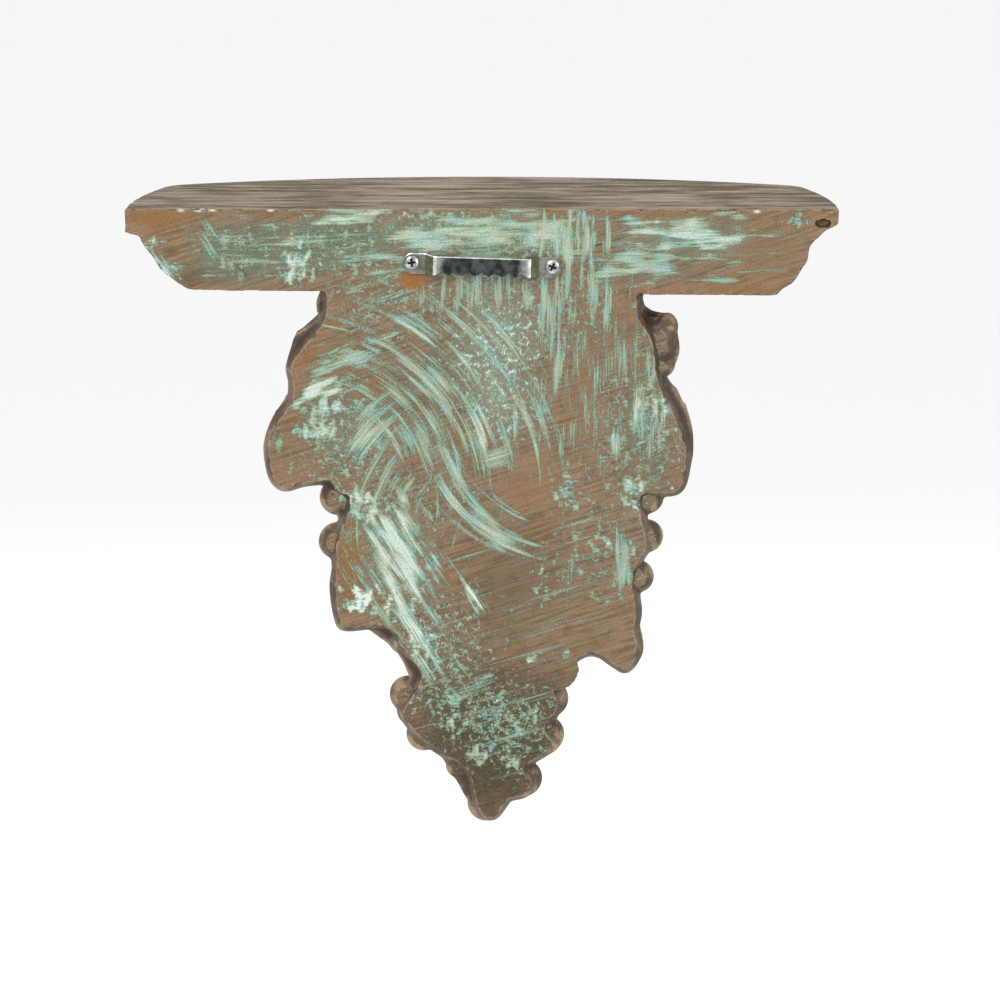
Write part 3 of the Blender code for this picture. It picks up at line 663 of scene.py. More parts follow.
# Paint of the casting
# Brown undercoat with sage and turquoise brushed over it, nearly dry, in sweeps of different directions.
# Dabs are in millimetres to the right of and above the hanger's middle notch, seen from behind.
UNDERCOAT = (0.225, 0.148, 0.086)
ORANGE = (0.235, 0.118, 0.040)
PINK = (0.250, 0.142, 0.086)
OLIVE = (0.095, 0.072, 0.040)
TAN = (0.205, 0.140, 0.080)
CRACK = (0.030, 0.026, 0.020)
STAIN = (0.260, 0.110, 0.032)
SHADOW_GREEN = (0.050, 0.062, 0.038)
DARK_OLIVE = (0.046, 0.038, 0.022)
DARK_FILM = (0.130, 0.160, 0.112)
SAGE_FILM = (0.195, 0.225, 0.150)
SILVER_FILM = (0.270, 0.255, 0.210)
DEEP_GREEN = (0.098, 0.125, 0.086)
SAGE = (0.270, 0.330, 0.228)
TURQUOISE = (0.225, 0.370, 0.305)
BARE_WHITE = (0.600, 0.670, 0.600)
RUBBED_BROWN = (0.310, 0.225, 0.160)
PALE_SPECK = (0.330, 0.250, 0.170)
STAIN_AT = (-29.4, -4.2)
STAIN_SIZE = (6.4, 4.4)

# Front and edges
CARVING_DARK = (0.088, 0.062, 0.042)
CARVING_LIGHT = (0.175, 0.125, 0.095)
# Painted shade laid into the creases
PAINTED_CREASE_SHADE = (0.055, 0.041, 0.029)
PIT = (0.035, 0.028, 0.019)
MOSS = (0.150, 0.215, 0.170)
GILT = (0.380, 0.280, 0.150)
WORN_RIM = (0.560, 0.500, 0.380)

# Top of the board
TOP_DARK = (0.138, 0.114, 0.080)
TOP_LIGHT = (0.225, 0.182, 0.142)
TOP_GRIME = (0.068, 0.060, 0.041)
TOP_RUBBED = (0.340, 0.280, 0.236)
TOP_SPECK = (0.330, 0.340, 0.280)

# Where a face counts as the back or the top, and how close to the plane it is struck flat
PAINTED_FACING = 0.8
BACK_PAINT_REACH = 0.0035
TOP_PAINT_REACH = 0.0010
STRUCK_FLAT = 1e-5

# Each sweep: angle, centre and radius of its arcs or None, length and width of a bristle's mark, and dabs.
# Each dab: right, up, half-length, half-width, cover, whiteness.
SWEEPS = {
    "level": {"angle": 2, "arc": None, "mark": (13, 1.0), "dabs": [
        (-55.8, 23.1, 25.4, 4.2, 0.85, 0.3), (-62.2, 14.3, 28, 9.5, 0.48, 0.05),
        (-0.9, 16.8, 46, 9, 0.95, 0.1), (-102.4, 9.2, 17, 11, 0.55, 0),
        (88, 16.4, 27, 9.5, 0.9, 0.3), (66.8, 4.1, 26, 9, 0.75, 0.1),
        (98.5, -3.5, 11, 1.3, 0.7, 0), (-77, 9.2, 55, 15.2, 0.34, 0.2), (71, 8.3, 50.7, 14.4, 0.42, 0.15),
        (-5.1, 9.2, 50.7, 14, 0.6, 0.2),
    ]},
    "upright": {"angle": 89, "arc": None, "mark": (16, 0.75), "dabs": [
        (37.2, 13.4, 14, 17, 0.8, 0.15), (29.6, -24.7, 40, 8, 0.62, 0.1),
        (40.6, -7.7, 19, 16, 0.54, 0.08), (1.3, -6.9, 12, 24, 0.66, 0.1),
        (49, -48.1, 14.4, 11, 0.3, 0.2), (37.2, -71.6, 11, 6.3, 0.52, 0.3), (55.8, -72, 8.5, 3, 0.75, 0.3),
        (59.2, -123.9, 16.1, 4.2, 0.7, 0.1), (37.2, -133.8, 12.7, 3.4, 0.42, 0),
        (12.7, -58.8, 13.5, 4.7, 0.55, 0.25), (71, -59.6, 20, 10, 0.54, 0.35),
        (82, -76.7, 12.7, 3.4, 0.52, 0.05), (49.9, -41.7, 42, 33, 0.39, 0.1),
    ]},
    "upper arcs": {"angle": 45, "arc": (-77.0, -98.1, 69.8), "mark": (18, 0.75), "dabs": [
        (-21.2, -47.3, 31, 8.5, 0.72, 0.15), (-28.3, -67.3, 24, 12, 0.62, 0.2),
        (-27.1, -22.6, 12, 4.5, 0.75, 0.25), (6.8, -34.1, 27.9, 16.9, 0.56, 0.2),
        (0.4, -65.2, 11, 3.8, 0.75, 0.35), (-5.1, -48.1, 21.1, 5.9, 0.5, 0.3),
        (-38.9, -31.1, 11, 3.4, 0.6, 0.35), (-22, -54.5, 50.7, 29, 0.54, 0.15),
    ]},
    "rising": {"angle": 20, "arc": None, "mark": (9, 1.0), "dabs": [
        (-57.9, -37.5, 18, 7, 0.68, 0.2), (-66, -49.4, 13, 7, 0.85, 0.4),
        (-5.1, -179.1, 14.4, 3.4, 0.56, 0.2), (-45.3, -12, 15.2, 9.3, 0.4, 0.25),
        (73.1, -12, 10.1, 3, 0.55, 0.2), (73.1, -24.7, 9.3, 2.1, 0.45, 0.15),
    ]},
    "left arcs": {"angle": 155, "arc": (1.3, -111.0, 46.5), "mark": (16, 0.75), "dabs": [
        (-39.8, -88.7, 26, 13, 0.5, 0.2), (-46.5, -65.2, 13, 10, 0.55, 0.3),
        (-38.9, -88.7, 38.1, 22, 0.38, 0.15),
    ]},
    "lower arcs": {"angle": 217, "arc": (38.5, -57.1, 63.4), "mark": (24, 0.8), "dabs": [
        (-0.9, -108, 31.3, 7.5, 0.78, 0.2), (-5.1, -97.2, 26, 5, 0.68, 0.15),
        (7.6, -99.4, 21.1, 2.1, 0.5, 0.2),
    ]},
    "steep": {"angle": -57, "arc": None, "mark": (18, 1.0), "dabs": [
        (-35.5, -119, 23, 15, 0.95, 0.4), (-31.3, -150.3, 18, 7, 0.7, 0.5),
        (-24.1, -171.3, 11, 4.2, 0.68, 0.6), (-5.1, -136.8, 9.3, 3.8, 0.82, 0.75),
        (-34.7, -140.2, 38.1, 20.3, 0.55, 0.3), (-115.9, 15.1, 11, 5.9, 0.5, 0.1),
        (-136.2, 5.8, 11, 3.8, 0.5, 0.7),
    ]},
    "combed": {"angle": 17, "arc": None, "mark": (34, 0.8), "dabs": [
        (26.6, -140.2, 55, 33, 0.19, 0.1), (7.6, -81, 6.8, 5.1, 0.52, 0.4),
        (7.6, -193, 29.6, 17.8, 0.32, 0.25),
    ]},
    "dabbed": {"angle": 0, "arc": None, "mark": (2.4, 1.2), "dabs": [
        (-64, 15, 30, 10, 0.4, 0.15), (-101, 8, 16, 11, 0.42, 0.1),
        (-139.6, 10.9, 5.1, 4.7, 0.55, 0.7), (-132.8, 0.7, 6.8, 4.2, 0.5, 0.5),
        (-77, 3.7, 8.5, 10, 0.8, 0.35), (132.4, 21, 6.3, 3.4, 0.6, 0.2), (-52.5, 3.7, 11, 5.1, 0.48, 0.1),
        (-67.7, -63, 12, 15, 0.72, 0.3), (-49.5, -100.2, 11, 8, 0.8, 0.35),
        (-51.6, -139.4, 9, 6.5, 0.9, 0.8), (-36, -140, 15, 12, 0.5, 0.6),
        (-27, -160, 9, 12, 0.55, 0.7), (71.9, -54.5, 9, 11, 0.7, 0.4),
        (62.6, -93.8, 6, 8.5, 0.75, 0.35), (35.5, -93, 7, 12, 0.55, 0.3),
        (49.9, -116.6, 8.5, 5.9, 0.5, 0.4), (7.6, -193, 26.2, 16.9, 0.33, 0.4),
        (-12.7, -188.7, 9, 13, 0.5, 0.4), (12.7, -193, 11.8, 6.8, 0.52, 0.2),
        (-3, -208.2, 5.9, 3.4, 0.8, 0.2), (12.7, -210.4, 4.2, 5.9, 0.55, 0.3),
        (-86.7, -73.7, 3.4, 7.6, 0.5, 0), (27.9, -135.9, 8.5, 5.1, 0.4, 0.5),
        (21.6, -164.8, 4.2, 3, 0.58, 0.5), (33.4, -163.1, 5.1, 2.1, 0.55, 0),
        (66.8, -35.3, 5.9, 8.5, 0.3, 0.3), (62.6, -120.9, 4.2, 8.5, 0.5, 0.3),
        (-57.9, -75.8, 22, 27, 0.38, 0.25), (68.9, -71.6, 20.3, 35.9, 0.36, 0.25),
        (49.9, -123, 25.4, 21.1, 0.34, 0.2),
    ]},
    "speckled": {"angle": 70, "arc": None, "mark": (1.5, 0.6), "dabs": [
        (6.8, -34.1, 26, 21, 0.5, 0.75), (7.6, -56.6, 15, 21, 0.5, 0.5),
        (7.6, -193, 21.1, 27.1, 0.36, 0.4), (-57.9, -71.6, 25.4, 18.6, 0.34, 0.4),
        (-34.7, -105.8, 25.4, 21.1, 0.3, 0.3), (66.8, -71.6, 38.1, 21.1, 0.3, 0.35),
        (-34.7, -12, 16.9, 38.1, 0.36, 0.2), (28.7, -12, 25.4, 25.4, 0.36, 0.2),
        (-0.9, 13.4, 12.7, 46.5, 0.5, 0.3), (-17.8, -166.1, 29.6, 21.1, 0.42, 0.4),
    ]},
}

# Undercoat colours in places of their own: right, up, angle, half-length, half-width, colour and strength
TOUCHES = [
    (-5.1, 24.8, 0, 145.9, 2.1, ORANGE, 0.55), (-136.2, 22.3, 0, 14.4, 3.8, ORANGE, 0.9),
    (-117.1, -1.8, 0, 17.8, 5.1, OLIVE, 0.55), (-29.2, -3.1, 0, 7.2, 3.8, ORANGE, 1),
    (-76.1, -84.4, 12, 13.5, 5.9, PINK, 0.7), (-73.6, -35.8, 60, 9.3, 4.2, ORANGE, 0.6),
    (-55.8, -123.9, 86, 22.8, 6.3, ORANGE, 1), (-45.7, -49.4, 15, 10.1, 5.1, ORANGE, 0.7),
    (-10.1, -71.6, 0, 4.7, 4.7, ORANGE, 0.8), (43.1, -46, 89, 26.2, 5.9, PINK, 0.8),
    (52, -22.6, 0, 15.2, 10.1, TAN, 0.7), (66.8, -84.4, 30, 11, 6.8, TAN, 0.7),
    (5.6, -200, 0, 48, 38, DARK_OLIVE, 0.85), (4.3, -223.4, 0, 14, 15, DARK_OLIVE, 0.5),
    (-0.9, 15.8, 0, 52, 10, SAGE_FILM, 0.85), (-64, 12, 0, 32, 12, DARK_FILM, 0.9),
    (-102, 8, 0, 21, 14, DARK_FILM, 0.9), (86, 15, 0, 28, 9, SAGE_FILM, 0.7),
    (66, 3, 0, 26, 8, DARK_FILM, 0.5),
    (6.8, -32, 80, 27, 17, SILVER_FILM, 0.75), (8, -57, 80, 14, 13, SILVER_FILM, 0.6),
    (-37, -118, -57, 25, 14, SAGE_FILM, 0.6), (-60, -62, 0, 16, 17, DARK_FILM, 0.4),
    (69, -66, 90, 30, 12, DARK_FILM, 0.4), (-24, -46, 45, 30, 14, DARK_FILM, 0.35),
    (120.9, 9.2, 0, 15.2, 16.1, TAN, 0.55), (107, -6.9, 0, 17.8, 2.1, ORANGE, 0.6),
    (20.3, -88.7, 20, 16.9, 14.4, PINK, 0.6), (14, -123, 17, 25.4, 21.1, OLIVE, 0.35),
    (-22, -179.1, 20, 5.9, 16.9, SHADOW_GREEN, 0.4), (3.4, -144.5, 17, 29.6, 16.9, OLIVE, 0.3),
    (-126.4, 25.9, 0, 1.6, 0.9, BARE_WHITE, 0.9), (-118.6, 25.9, 0, 2.4, 0.9, BARE_WHITE, 0.9),
    (-113, 26.1, 0, 1.9, 0.8, BARE_WHITE, 0.9), (-88.8, 26, 0, 1.4, 0.8, BARE_WHITE, 0.9),
    (115.4, 25.6, 0, 1.5, 0.8, BARE_WHITE, 0.9), (48.6, 11.3, 16.5, 17.3, 0.4, CRACK, 0.8),
    (-101.9, 2, -50, 6.3, 1.1, SHADOW_GREEN, 0.7),
]


def shader(name, values):
    """New material of one principled surface with these plain values, its tree and the surface."""
    made = bpy.data.materials.new(name)
    made.use_nodes = True
    tree = made.node_tree
    tree.nodes.clear()
    surface = node(tree, "ShaderNodeBsdfPrincipled", inputs=values)
    node(tree, "ShaderNodeOutputMaterial", inputs={"Surface": surface.outputs["BSDF"]})
    return made, tree, surface


def maths(tree, operation, *values):
    return node(tree, "ShaderNodeMath", {"operation": operation}, dict(enumerate(values))).outputs[0]


def vectors(tree, operation, *values):
    """Result of a vector operation. A length is a number, and a scale's second value is one."""
    inputs = dict(enumerate(values))
    if operation == "SCALE":
        inputs = {0: values[0], 3: values[1]}
    made = node(tree, "ShaderNodeVectorMath", {"operation": operation}, inputs)
    return made.outputs["Value" if operation == "LENGTH" else "Vector"]


def parts(tree, vector):
    made = node(tree, "ShaderNodeSeparateXYZ", inputs={"Vector": vector})
    return made.outputs["X"], made.outputs["Y"], made.outputs["Z"]


def joined(tree, *values):
    return node(tree, "ShaderNodeCombineXYZ", inputs=dict(enumerate(values))).outputs["Vector"]


def eased(tree, value, start, end, most=1.0):
    """Smooth step from 0 to most while the value goes from start to end."""
    made = node(
        tree, "ShaderNodeMapRange", {"interpolation_type": "SMOOTHSTEP"},
        {"Value": value, "From Min": start, "From Max": end, "To Max": most},
    )
    return made.outputs["Result"]


def mixed(tree, share, under, over):
    """One colour laid over another, by a share from 0 to 1. Inputs 6 and 7 and output 2 are the colours'."""
    inputs = {0: share}
    for socket, value in ((6, under), (7, over)):
        inputs[socket] = value if isinstance(value, bpy.types.NodeSocket) else (*value, 1.0)
    return node(tree, "ShaderNodeMix", {"data_type": "RGBA"}, inputs).outputs[2]


def grain(tree, place, size, detail=2.0, roughness=0.5):
    """Noise about a half, with features of about one size in the place's own units."""
    made = node(
        tree, "ShaderNodeTexNoise",
        inputs={"Vector": place, "Scale": 1 / size, "Detail": detail, "Roughness": roughness},
    )
    return made.outputs["Fac"]


def relief(tree, surface, distance, value):
    """Gives the surface a fine relief from a value between 0 and 1."""
    made = node(tree, "ShaderNodeBump", inputs={"Strength": 1.0, "Distance": distance, "Height": value})
    tree.links.new(made.outputs["Normal"], surface.inputs["Normal"])


def millimetres(tree):
    """Object coordinates in millimetres."""
    return vectors(tree, "SCALE", node(tree, "ShaderNodeTexCoord").outputs["Object"], 1000.0)


def seen_from_behind(tree):
    """Millimetres to the right and up, as the dabs are given."""
    x, _, z = parts(tree, millimetres(tree))
    return joined(tree, maths(tree, "MULTIPLY", x, -1.0), z, 0.0)


def turned(tree, place, degrees):
    angle = -math.radians(degrees)
    return node(
        tree, "ShaderNodeVectorRotate", {"rotation_type": "Z_AXIS"}, {"Vector": place, "Angle": angle}
    ).outputs["Vector"]


def along_sweep(tree, place, sweep):
    """The place measured along a sweep's strokes and across them."""
    if not sweep["arc"]:
        return turned(tree, place, sweep["angle"])
    right, up, radius = sweep["arc"]
    spoke = turned(tree, vectors(tree, "SUBTRACT", place, (right, up, 0.0)), sweep["angle"])
    x, y, _ = parts(tree, spoke)
    turn = maths(tree, "MULTIPLY", maths(tree, "ARCTAN2", y, x), radius)
    return joined(tree, turn, maths(tree, "SUBTRACT", vectors(tree, "LENGTH", spoke), radius), 0.0)


def dab_along_sweep(sweep, right, up):
    """The same for the middle of a dab."""
    turn = math.radians(sweep["angle"])
    if sweep["arc"]:
        right -= sweep["arc"][0]
        up -= sweep["arc"][1]
    along = right * math.cos(turn) + up * math.sin(turn)
    aside = up * math.cos(turn) - right * math.sin(turn)
    if not sweep["arc"]:
        return along, aside
    radius = sweep["arc"][2]
    return math.atan2(aside, along) * radius, math.hypot(along, aside) - radius


def oval(tree, along, middle, length, width, wobble):
    """1 inside an oval, falling to 0 over an uneven rim."""
    scale = (1 / length, 1 / width, 0.0)
    shift = (-middle[0] / length, -middle[1] / width, 0.0)
    reach = vectors(tree, "LENGTH", vectors(tree, "MULTIPLY_ADD", along, scale, shift))
    return eased(tree, maths(tree, "ADD", reach, wobble), 1.40, 0.25)


def sweep_paint(tree, place, sweep, wobble, index):
    """Paint of one sweep: a vector of its amount, the bare lines between its marks and how pale it is.

    A mark shows where its noise passes a limit, and the limit falls as the cover grows.
    """
    along = along_sweep(tree, place, sweep)
    long, fine = sweep["mark"]
    bristle = vectors(tree, "MULTIPLY_ADD", along, (1 / long, 1 / fine, 0.0), (0.0, 0.0, index * 17.0))
    tuft = grain(tree, vectors(tree, "MULTIPLY", bristle, (0.7, 0.22, 1.0)), 1.0, 1.0)
    ragged = maths(tree, "MULTIPLY_ADD", tuft, -1.6, maths(tree, "ADD", wobble, 0.8))
    laid = None
    for right, up, length, width, cover, white in sweep["dabs"]:
        inside = oval(tree, along, dab_along_sweep(sweep, right, up), length, width, ragged)
        dab = vectors(tree, "SCALE", (cover, white, 0.0), inside)
        laid = vectors(tree, "MAXIMUM", laid, dab) if laid else dab
    cover, white, _ = parts(tree, laid)
    marks = maths(tree, "MULTIPLY_ADD", grain(tree, bristle, 1.0, 4.0, 0.70), 1.5, tuft)
    over = maths(tree, "SUBTRACT", marks, maths(tree, "MULTIPLY_ADD", cover, -0.72, 1.56))
    amount = maths(tree, "MULTIPLY", eased(tree, over, -0.04, 0.06), eased(tree, cover, 0.0, 0.08))
    raised = eased(tree, over, 0.0, 0.46)
    pale = maths(tree, "MULTIPLY", raised, maths(tree, "MULTIPLY_ADD", white, 0.60, 0.36))
    bare = maths(tree, "MULTIPLY", cover, eased(tree, over, -0.02, -0.22))
    return joined(tree, amount, bare, maths(tree, "MULTIPLY", amount, pale))


def undercoat(tree, place, wobble):
    """Brown ground, patched and combed, with the touches of other colours on it."""
    wide = grain(tree, place, 22.0, 3.0)
    combed = grain(tree, vectors(tree, "MULTIPLY", turned(tree, place, 18), (0.06, 1.0, 1.0)), 1.1, 3.0)
    ground = mixed(tree, eased(tree, wide, 0.42, 0.62), UNDERCOAT, PINK)
    ground = mixed(tree, eased(tree, grain(tree, place, 7.0, 4.0, 0.6), 0.50, 0.68, 0.5), ground, OLIVE)
    ground = mixed(tree, eased(tree, combed, 0.51, 0.62, 0.60), ground, OLIVE)
    ground = mixed(tree, eased(tree, combed, 0.47, 0.38, 0.35), ground, RUBBED_BROWN)
    for right, up, angle, length, width, tint, strength in TOUCHES:
        spin = {"angle": angle, "arc": None}
        along = turned(tree, place, angle)
        inside = oval(tree, along, dab_along_sweep(spin, right, up), length, width, wobble)
        ground = mixed(tree, maths(tree, "MULTIPLY", inside, strength), ground, tint)
    speckle = grain(tree, place, 0.7, 3.0, 0.7)
    ground = mixed(tree, eased(tree, speckle, 0.50, 0.64, 0.40), ground, SHADOW_GREEN)
    return mixed(tree, eased(tree, speckle, 0.44, 0.34, 0.35), ground, PALE_SPECK)


def back_paint():
    """Back: brown undercoat under brushed sage and turquoise."""
    made, tree, surface = shader("back_paint", {"Roughness": 0.65, "Specular IOR Level": 0.10})
    place = seen_from_behind(tree)
    rough_edge = maths(tree, "SUBTRACT", grain(tree, place, 5.0, 4.0, 0.6), 0.5)
    wobble = maths(tree, "MULTIPLY", rough_edge, 0.9)
    laid = None
    for index, sweep in enumerate(SWEEPS.values()):
        added = sweep_paint(tree, place, sweep, wobble, index)
        laid = vectors(tree, "MAXIMUM", laid, added) if laid else added
    amount, bare, pale = parts(tree, laid)
    fine = grain(tree, place, 0.8, 3.0, 0.7)
    # Partly a dark film and partly painted shade: the bare lines between the marks go towards shadow green
    film_and_painted_shade = maths(tree, "MULTIPLY", bare, eased(tree, fine, 0.72, 0.36, 1.0))
    colour = mixed(tree, film_and_painted_shade, undercoat(tree, place, wobble), SHADOW_GREEN)
    green = mixed(tree, eased(tree, grain(tree, place, 9.0, 3.0), 0.44, 0.60), SAGE, TURQUOISE)
    pale = maths(tree, "MULTIPLY_ADD", maths(tree, "SUBTRACT", fine, 0.5), 0.8, pale)
    paint = mixed(tree, eased(tree, pale, -0.08, 0.22), DEEP_GREEN, green)
    paint = mixed(tree, eased(tree, pale, 0.30, 0.75), paint, BARE_WHITE)
    colour = mixed(tree, maths(tree, "MULTIPLY", amount, 0.92), colour, paint)
    wide = grain(tree, place, 14.0, 3.0)
    spread = maths(tree, "MULTIPLY_ADD", wide, 0.25, maths(tree, "MULTIPLY", bare, 0.16))
    flecks = eased(tree, maths(tree, "ADD", fine, spread), 0.80, 0.88, 0.60)
    colour = mixed(tree, flecks, colour, mixed(tree, 0.4, SAGE, BARE_WHITE))
    stain = oval(tree, place, STAIN_AT, *STAIN_SIZE, maths(tree, "MULTIPLY", wobble, 0.3))
    colour = mixed(tree, maths(tree, "MULTIPLY", stain, 0.85), colour, STAIN)
    tree.links.new(colour, surface.inputs["Base Color"])
    relief(tree, surface, 0.00012, grain(tree, place, 0.7, 3.0))
    return made


def carving_paint():
    """Front and edges: antique grey-brown with painted shade in the creases, gilt rubbed over what stands
    out.
    """
    made, tree, surface = shader("carving_paint", {"Specular IOR Level": 0.25})
    place = millimetres(tree)
    stands = node(tree, "ShaderNodeAttribute", {"attribute_name": "stands_out"}).outputs["Fac"]
    patch = grain(tree, place, 11.0, 4.0, 0.6)
    fine = grain(tree, place, 1.1, 3.0, 0.6)
    colour = mixed(tree, eased(tree, patch, 0.40, 0.65), CARVING_DARK, CARVING_LIGHT)
    # Painted shade: darker where the surface bends inwards, as shade falls in the creases
    crease_shade = eased(tree, maths(tree, "MULTIPLY_ADD", fine, 0.10, stands), 0.00, -0.26, 0.85)
    colour = mixed(tree, crease_shade, colour, PAINTED_CREASE_SHADE)
    pitted = grain(tree, place, 0.8, 3.0, 0.7)
    colour = mixed(tree, eased(tree, pitted, 0.52, 0.66, 0.6), colour, PIT)
    moss = eased(tree, grain(tree, place, 6.0, 4.0, 0.65), 0.56, 0.70)
    moss = maths(tree, "MULTIPLY", moss, eased(tree, stands, 0.12, -0.10, 0.55))
    colour = mixed(tree, moss, colour, MOSS)
    rubbed = eased(tree, maths(tree, "MULTIPLY_ADD", fine, 0.30, stands), 0.20, 0.36)
    gilt = maths(tree, "MULTIPLY", rubbed, eased(tree, patch, 0.42, 0.60, 0.60))
    colour = mixed(tree, gilt, colour, GILT)
    _, y, _ = parts(tree, place)
    rim = eased(tree, maths(tree, "MULTIPLY_ADD", patch, -3.0, y), -2.0, -1.3, 0.5)
    colour = mixed(tree, rim, colour, WORN_RIM)
    tree.links.new(colour, surface.inputs["Base Color"])
    tree.links.new(eased(tree, gilt, 1.0, 0.0, 0.30), surface.inputs["Metallic"])
    tree.links.new(maths(tree, "MULTIPLY_ADD", fine, 0.35, 0.38), surface.inputs["Roughness"])
    relief(tree, surface, 0.00018, fine)
    return made


def shelf_top_paint():
    """Top of the board: grey-brown, rubbed along its length."""
    made, tree, surface = shader("shelf_top_paint", {"Specular IOR Level": 0.04, "Roughness": 0.90})
    place = millimetres(tree)
    brushed = grain(tree, vectors(tree, "MULTIPLY", place, (0.20, 1.0, 1.0)), 9.0, 6.0, 0.75)
    patch = grain(tree, vectors(tree, "MULTIPLY", place, (0.5, 1.0, 1.0)), 28.0, 3.0)
    colour = mixed(tree, eased(tree, patch, 0.40, 0.62), TOP_DARK, TOP_LIGHT)
    colour = mixed(tree, eased(tree, brushed, 0.50, 0.42, 0.9), colour, TOP_GRIME)
    colour = mixed(tree, eased(tree, brushed, 0.53, 0.61, 0.7), colour, TOP_RUBBED)
    speck = eased(tree, grain(tree, place, 1.6, 2.0), 0.68, 0.74, 0.6)
    colour = mixed(tree, speck, colour, TOP_SPECK)
    tree.links.new(colour, surface.inputs["Base Color"])
    relief(tree, surface, 0.00010, brushed)
    return made


def shown(name, mesh, materials):
    """New piece from a mesh, with its materials."""
    piece = placed(name, mesh)
    for material in materials:
        mesh.materials.append(material)
    return piece


def painted_casting():
    """The forms run together and weathered, thinned, and painted on the back, on the top and elsewhere."""
    mesh = merged(casting_forms(bpy.data.materials.new("bare_cast")))
    weathered(mesh)
    fine = corners(mesh)
    stands = bend(mesh) * 1000
    mesh = thinned(mesh, MOST_TRIANGLES)
    carry_over(fine, stands, mesh, "stands_out")
    mesh.materials.clear()
    piece = shown("painted_casting", mesh, [carving_paint(), back_paint(), shelf_top_paint()])
    normals = triples(mesh.polygons, "normal")
    middles = triples(mesh.polygons, "center")
    on_back = (normals[:, 1] > PAINTED_FACING) & (middles[:, 1] > -BACK_PAINT_REACH)
    on_top = (normals[:, 2] > PAINTED_FACING) & (middles[:, 2] > SHELF_TOP - TOP_PAINT_REACH)
    slots = np.where(on_back, 1, np.where(on_top, 2, 0)).astype(np.int32)
    mesh.polygons.foreach_set("material_index", slots)
    flat_back = on_back & (middles[:, 1] > -STRUCK_FLAT)
    flat_top = on_top & (middles[:, 2] > SHELF_TOP - STRUCK_FLAT)
    mesh.polygons.foreach_set("use_smooth", ~(flat_back | flat_top))
    mesh.update()
    return piece


casting = painted_casting()
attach(casting, "root")
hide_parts("corbel_shelf")


# Saw-tooth hanger
# A pressed steel strip 66 mm long, 8.8 mm wide and 1 mm thick. Round-ended tabs lie on the back, two legs
# slope up, and the bridge between them stands about 3 mm off, with seven teeth along its lower edge.
HANGER_BRIDGE = 0.0395
HANGER_LEG_RUN = 0.0042
HANGER_TAB = 0.0092
HANGER_WIDTH = 0.0088
HANGER_BRIDGE_TRIM = 0.0008
HANGER_THICKNESS = 0.0010
HANGER_RISE = 0.0030
HANGER_TILT = math.radians(1.7)
BEND_RADIUS = 0.0009
PAINTED_HIGHLIGHT_BAND = 0.0007
# Painted reflection lightens the bridge from so many millimetres off its middle
BRIDGE_REFLECTION_FROM = 17.0
PAINTED_BRIDGE_REFLECTION = (0.42, 0.44, 0.44)
TOOTH_COUNT = 7
TOOTH_DEPTH = 0.0016
HALF_TOOTH = HANGER_BRIDGE / TOOTH_COUNT / 2
SHEARED_EDGE = 0.00042
EDGE_DROP = 0.00022
CONTACT_GAP = 0.0003
TAB_ROUNDING = HANGER_WIDTH * 0.42
HANGER_FOOT = HANGER_BRIDGE / 2 + HANGER_LEG_RUN


def strip_line():
    """Middle line of the strip's right half: along and off the back, with its two bends rounded."""
    lift = CONTACT_GAP + HANGER_THICKNESS / 2
    ends = [
        (0.0, HANGER_RISE), (HANGER_BRIDGE / 2, HANGER_RISE),
        (HANGER_FOOT, 0.0), (HANGER_FOOT + HANGER_TAB, 0.0),
    ]
    line = []
    for before, bend_at, after in zip(ends, ends[1:], ends[2:]):
        before, bend_at, after = Vector(before), Vector(bend_at), Vector(after)
        start = bend_at + (before - bend_at).normalized() * BEND_RADIUS
        stop = bend_at + (after - bend_at).normalized() * BEND_RADIUS
        for share in np.linspace(0, 1, 9):
            line.append(start * (1 - share) ** 2 + bend_at * 2 * share * (1 - share) + stop * share * share)
    straight = HANGER_FOOT + HANGER_TAB - TAB_ROUNDING
    for turn in np.linspace(math.pi / 2, math.radians(12), 12):
        line.append(Vector((straight + TAB_ROUNDING * math.cos(turn), 0.0)))
    inside = [Vector((HALF_TOOTH * step, HANGER_RISE)) for step in range(TOOTH_COUNT)]
    inside = [point for point in inside if point.x < HANGER_BRIDGE / 2 - BEND_RADIUS * 1.2]
    return [Vector((point.x, point.y + lift)) for point in inside + line]


def strip_edges(x):
    """Lower and upper edge of the strip at a distance along it."""
    low = -TOOTH_DEPTH
    high = low + HANGER_WIDTH
    middle = (low + high) / 2
    over = (x - HANGER_FOOT - HANGER_TAB + TAB_ROUNDING) / TAB_ROUNDING
    if over > 0:
        spread = HANGER_WIDTH / 2 * math.sqrt(max(1 - over * over, 0))
        return middle - spread, middle + spread
    trim = HANGER_BRIDGE_TRIM * min(max((HANGER_FOOT - x) / HANGER_LEG_RUN, 0), 1)
    beat = abs(x) / HALF_TOOTH
    rise = abs(beat - 2 * round(beat / 2)) if x < HANGER_BRIDGE / 2 else 1.0
    return low + TOOTH_DEPTH * (1 - rise), high - trim


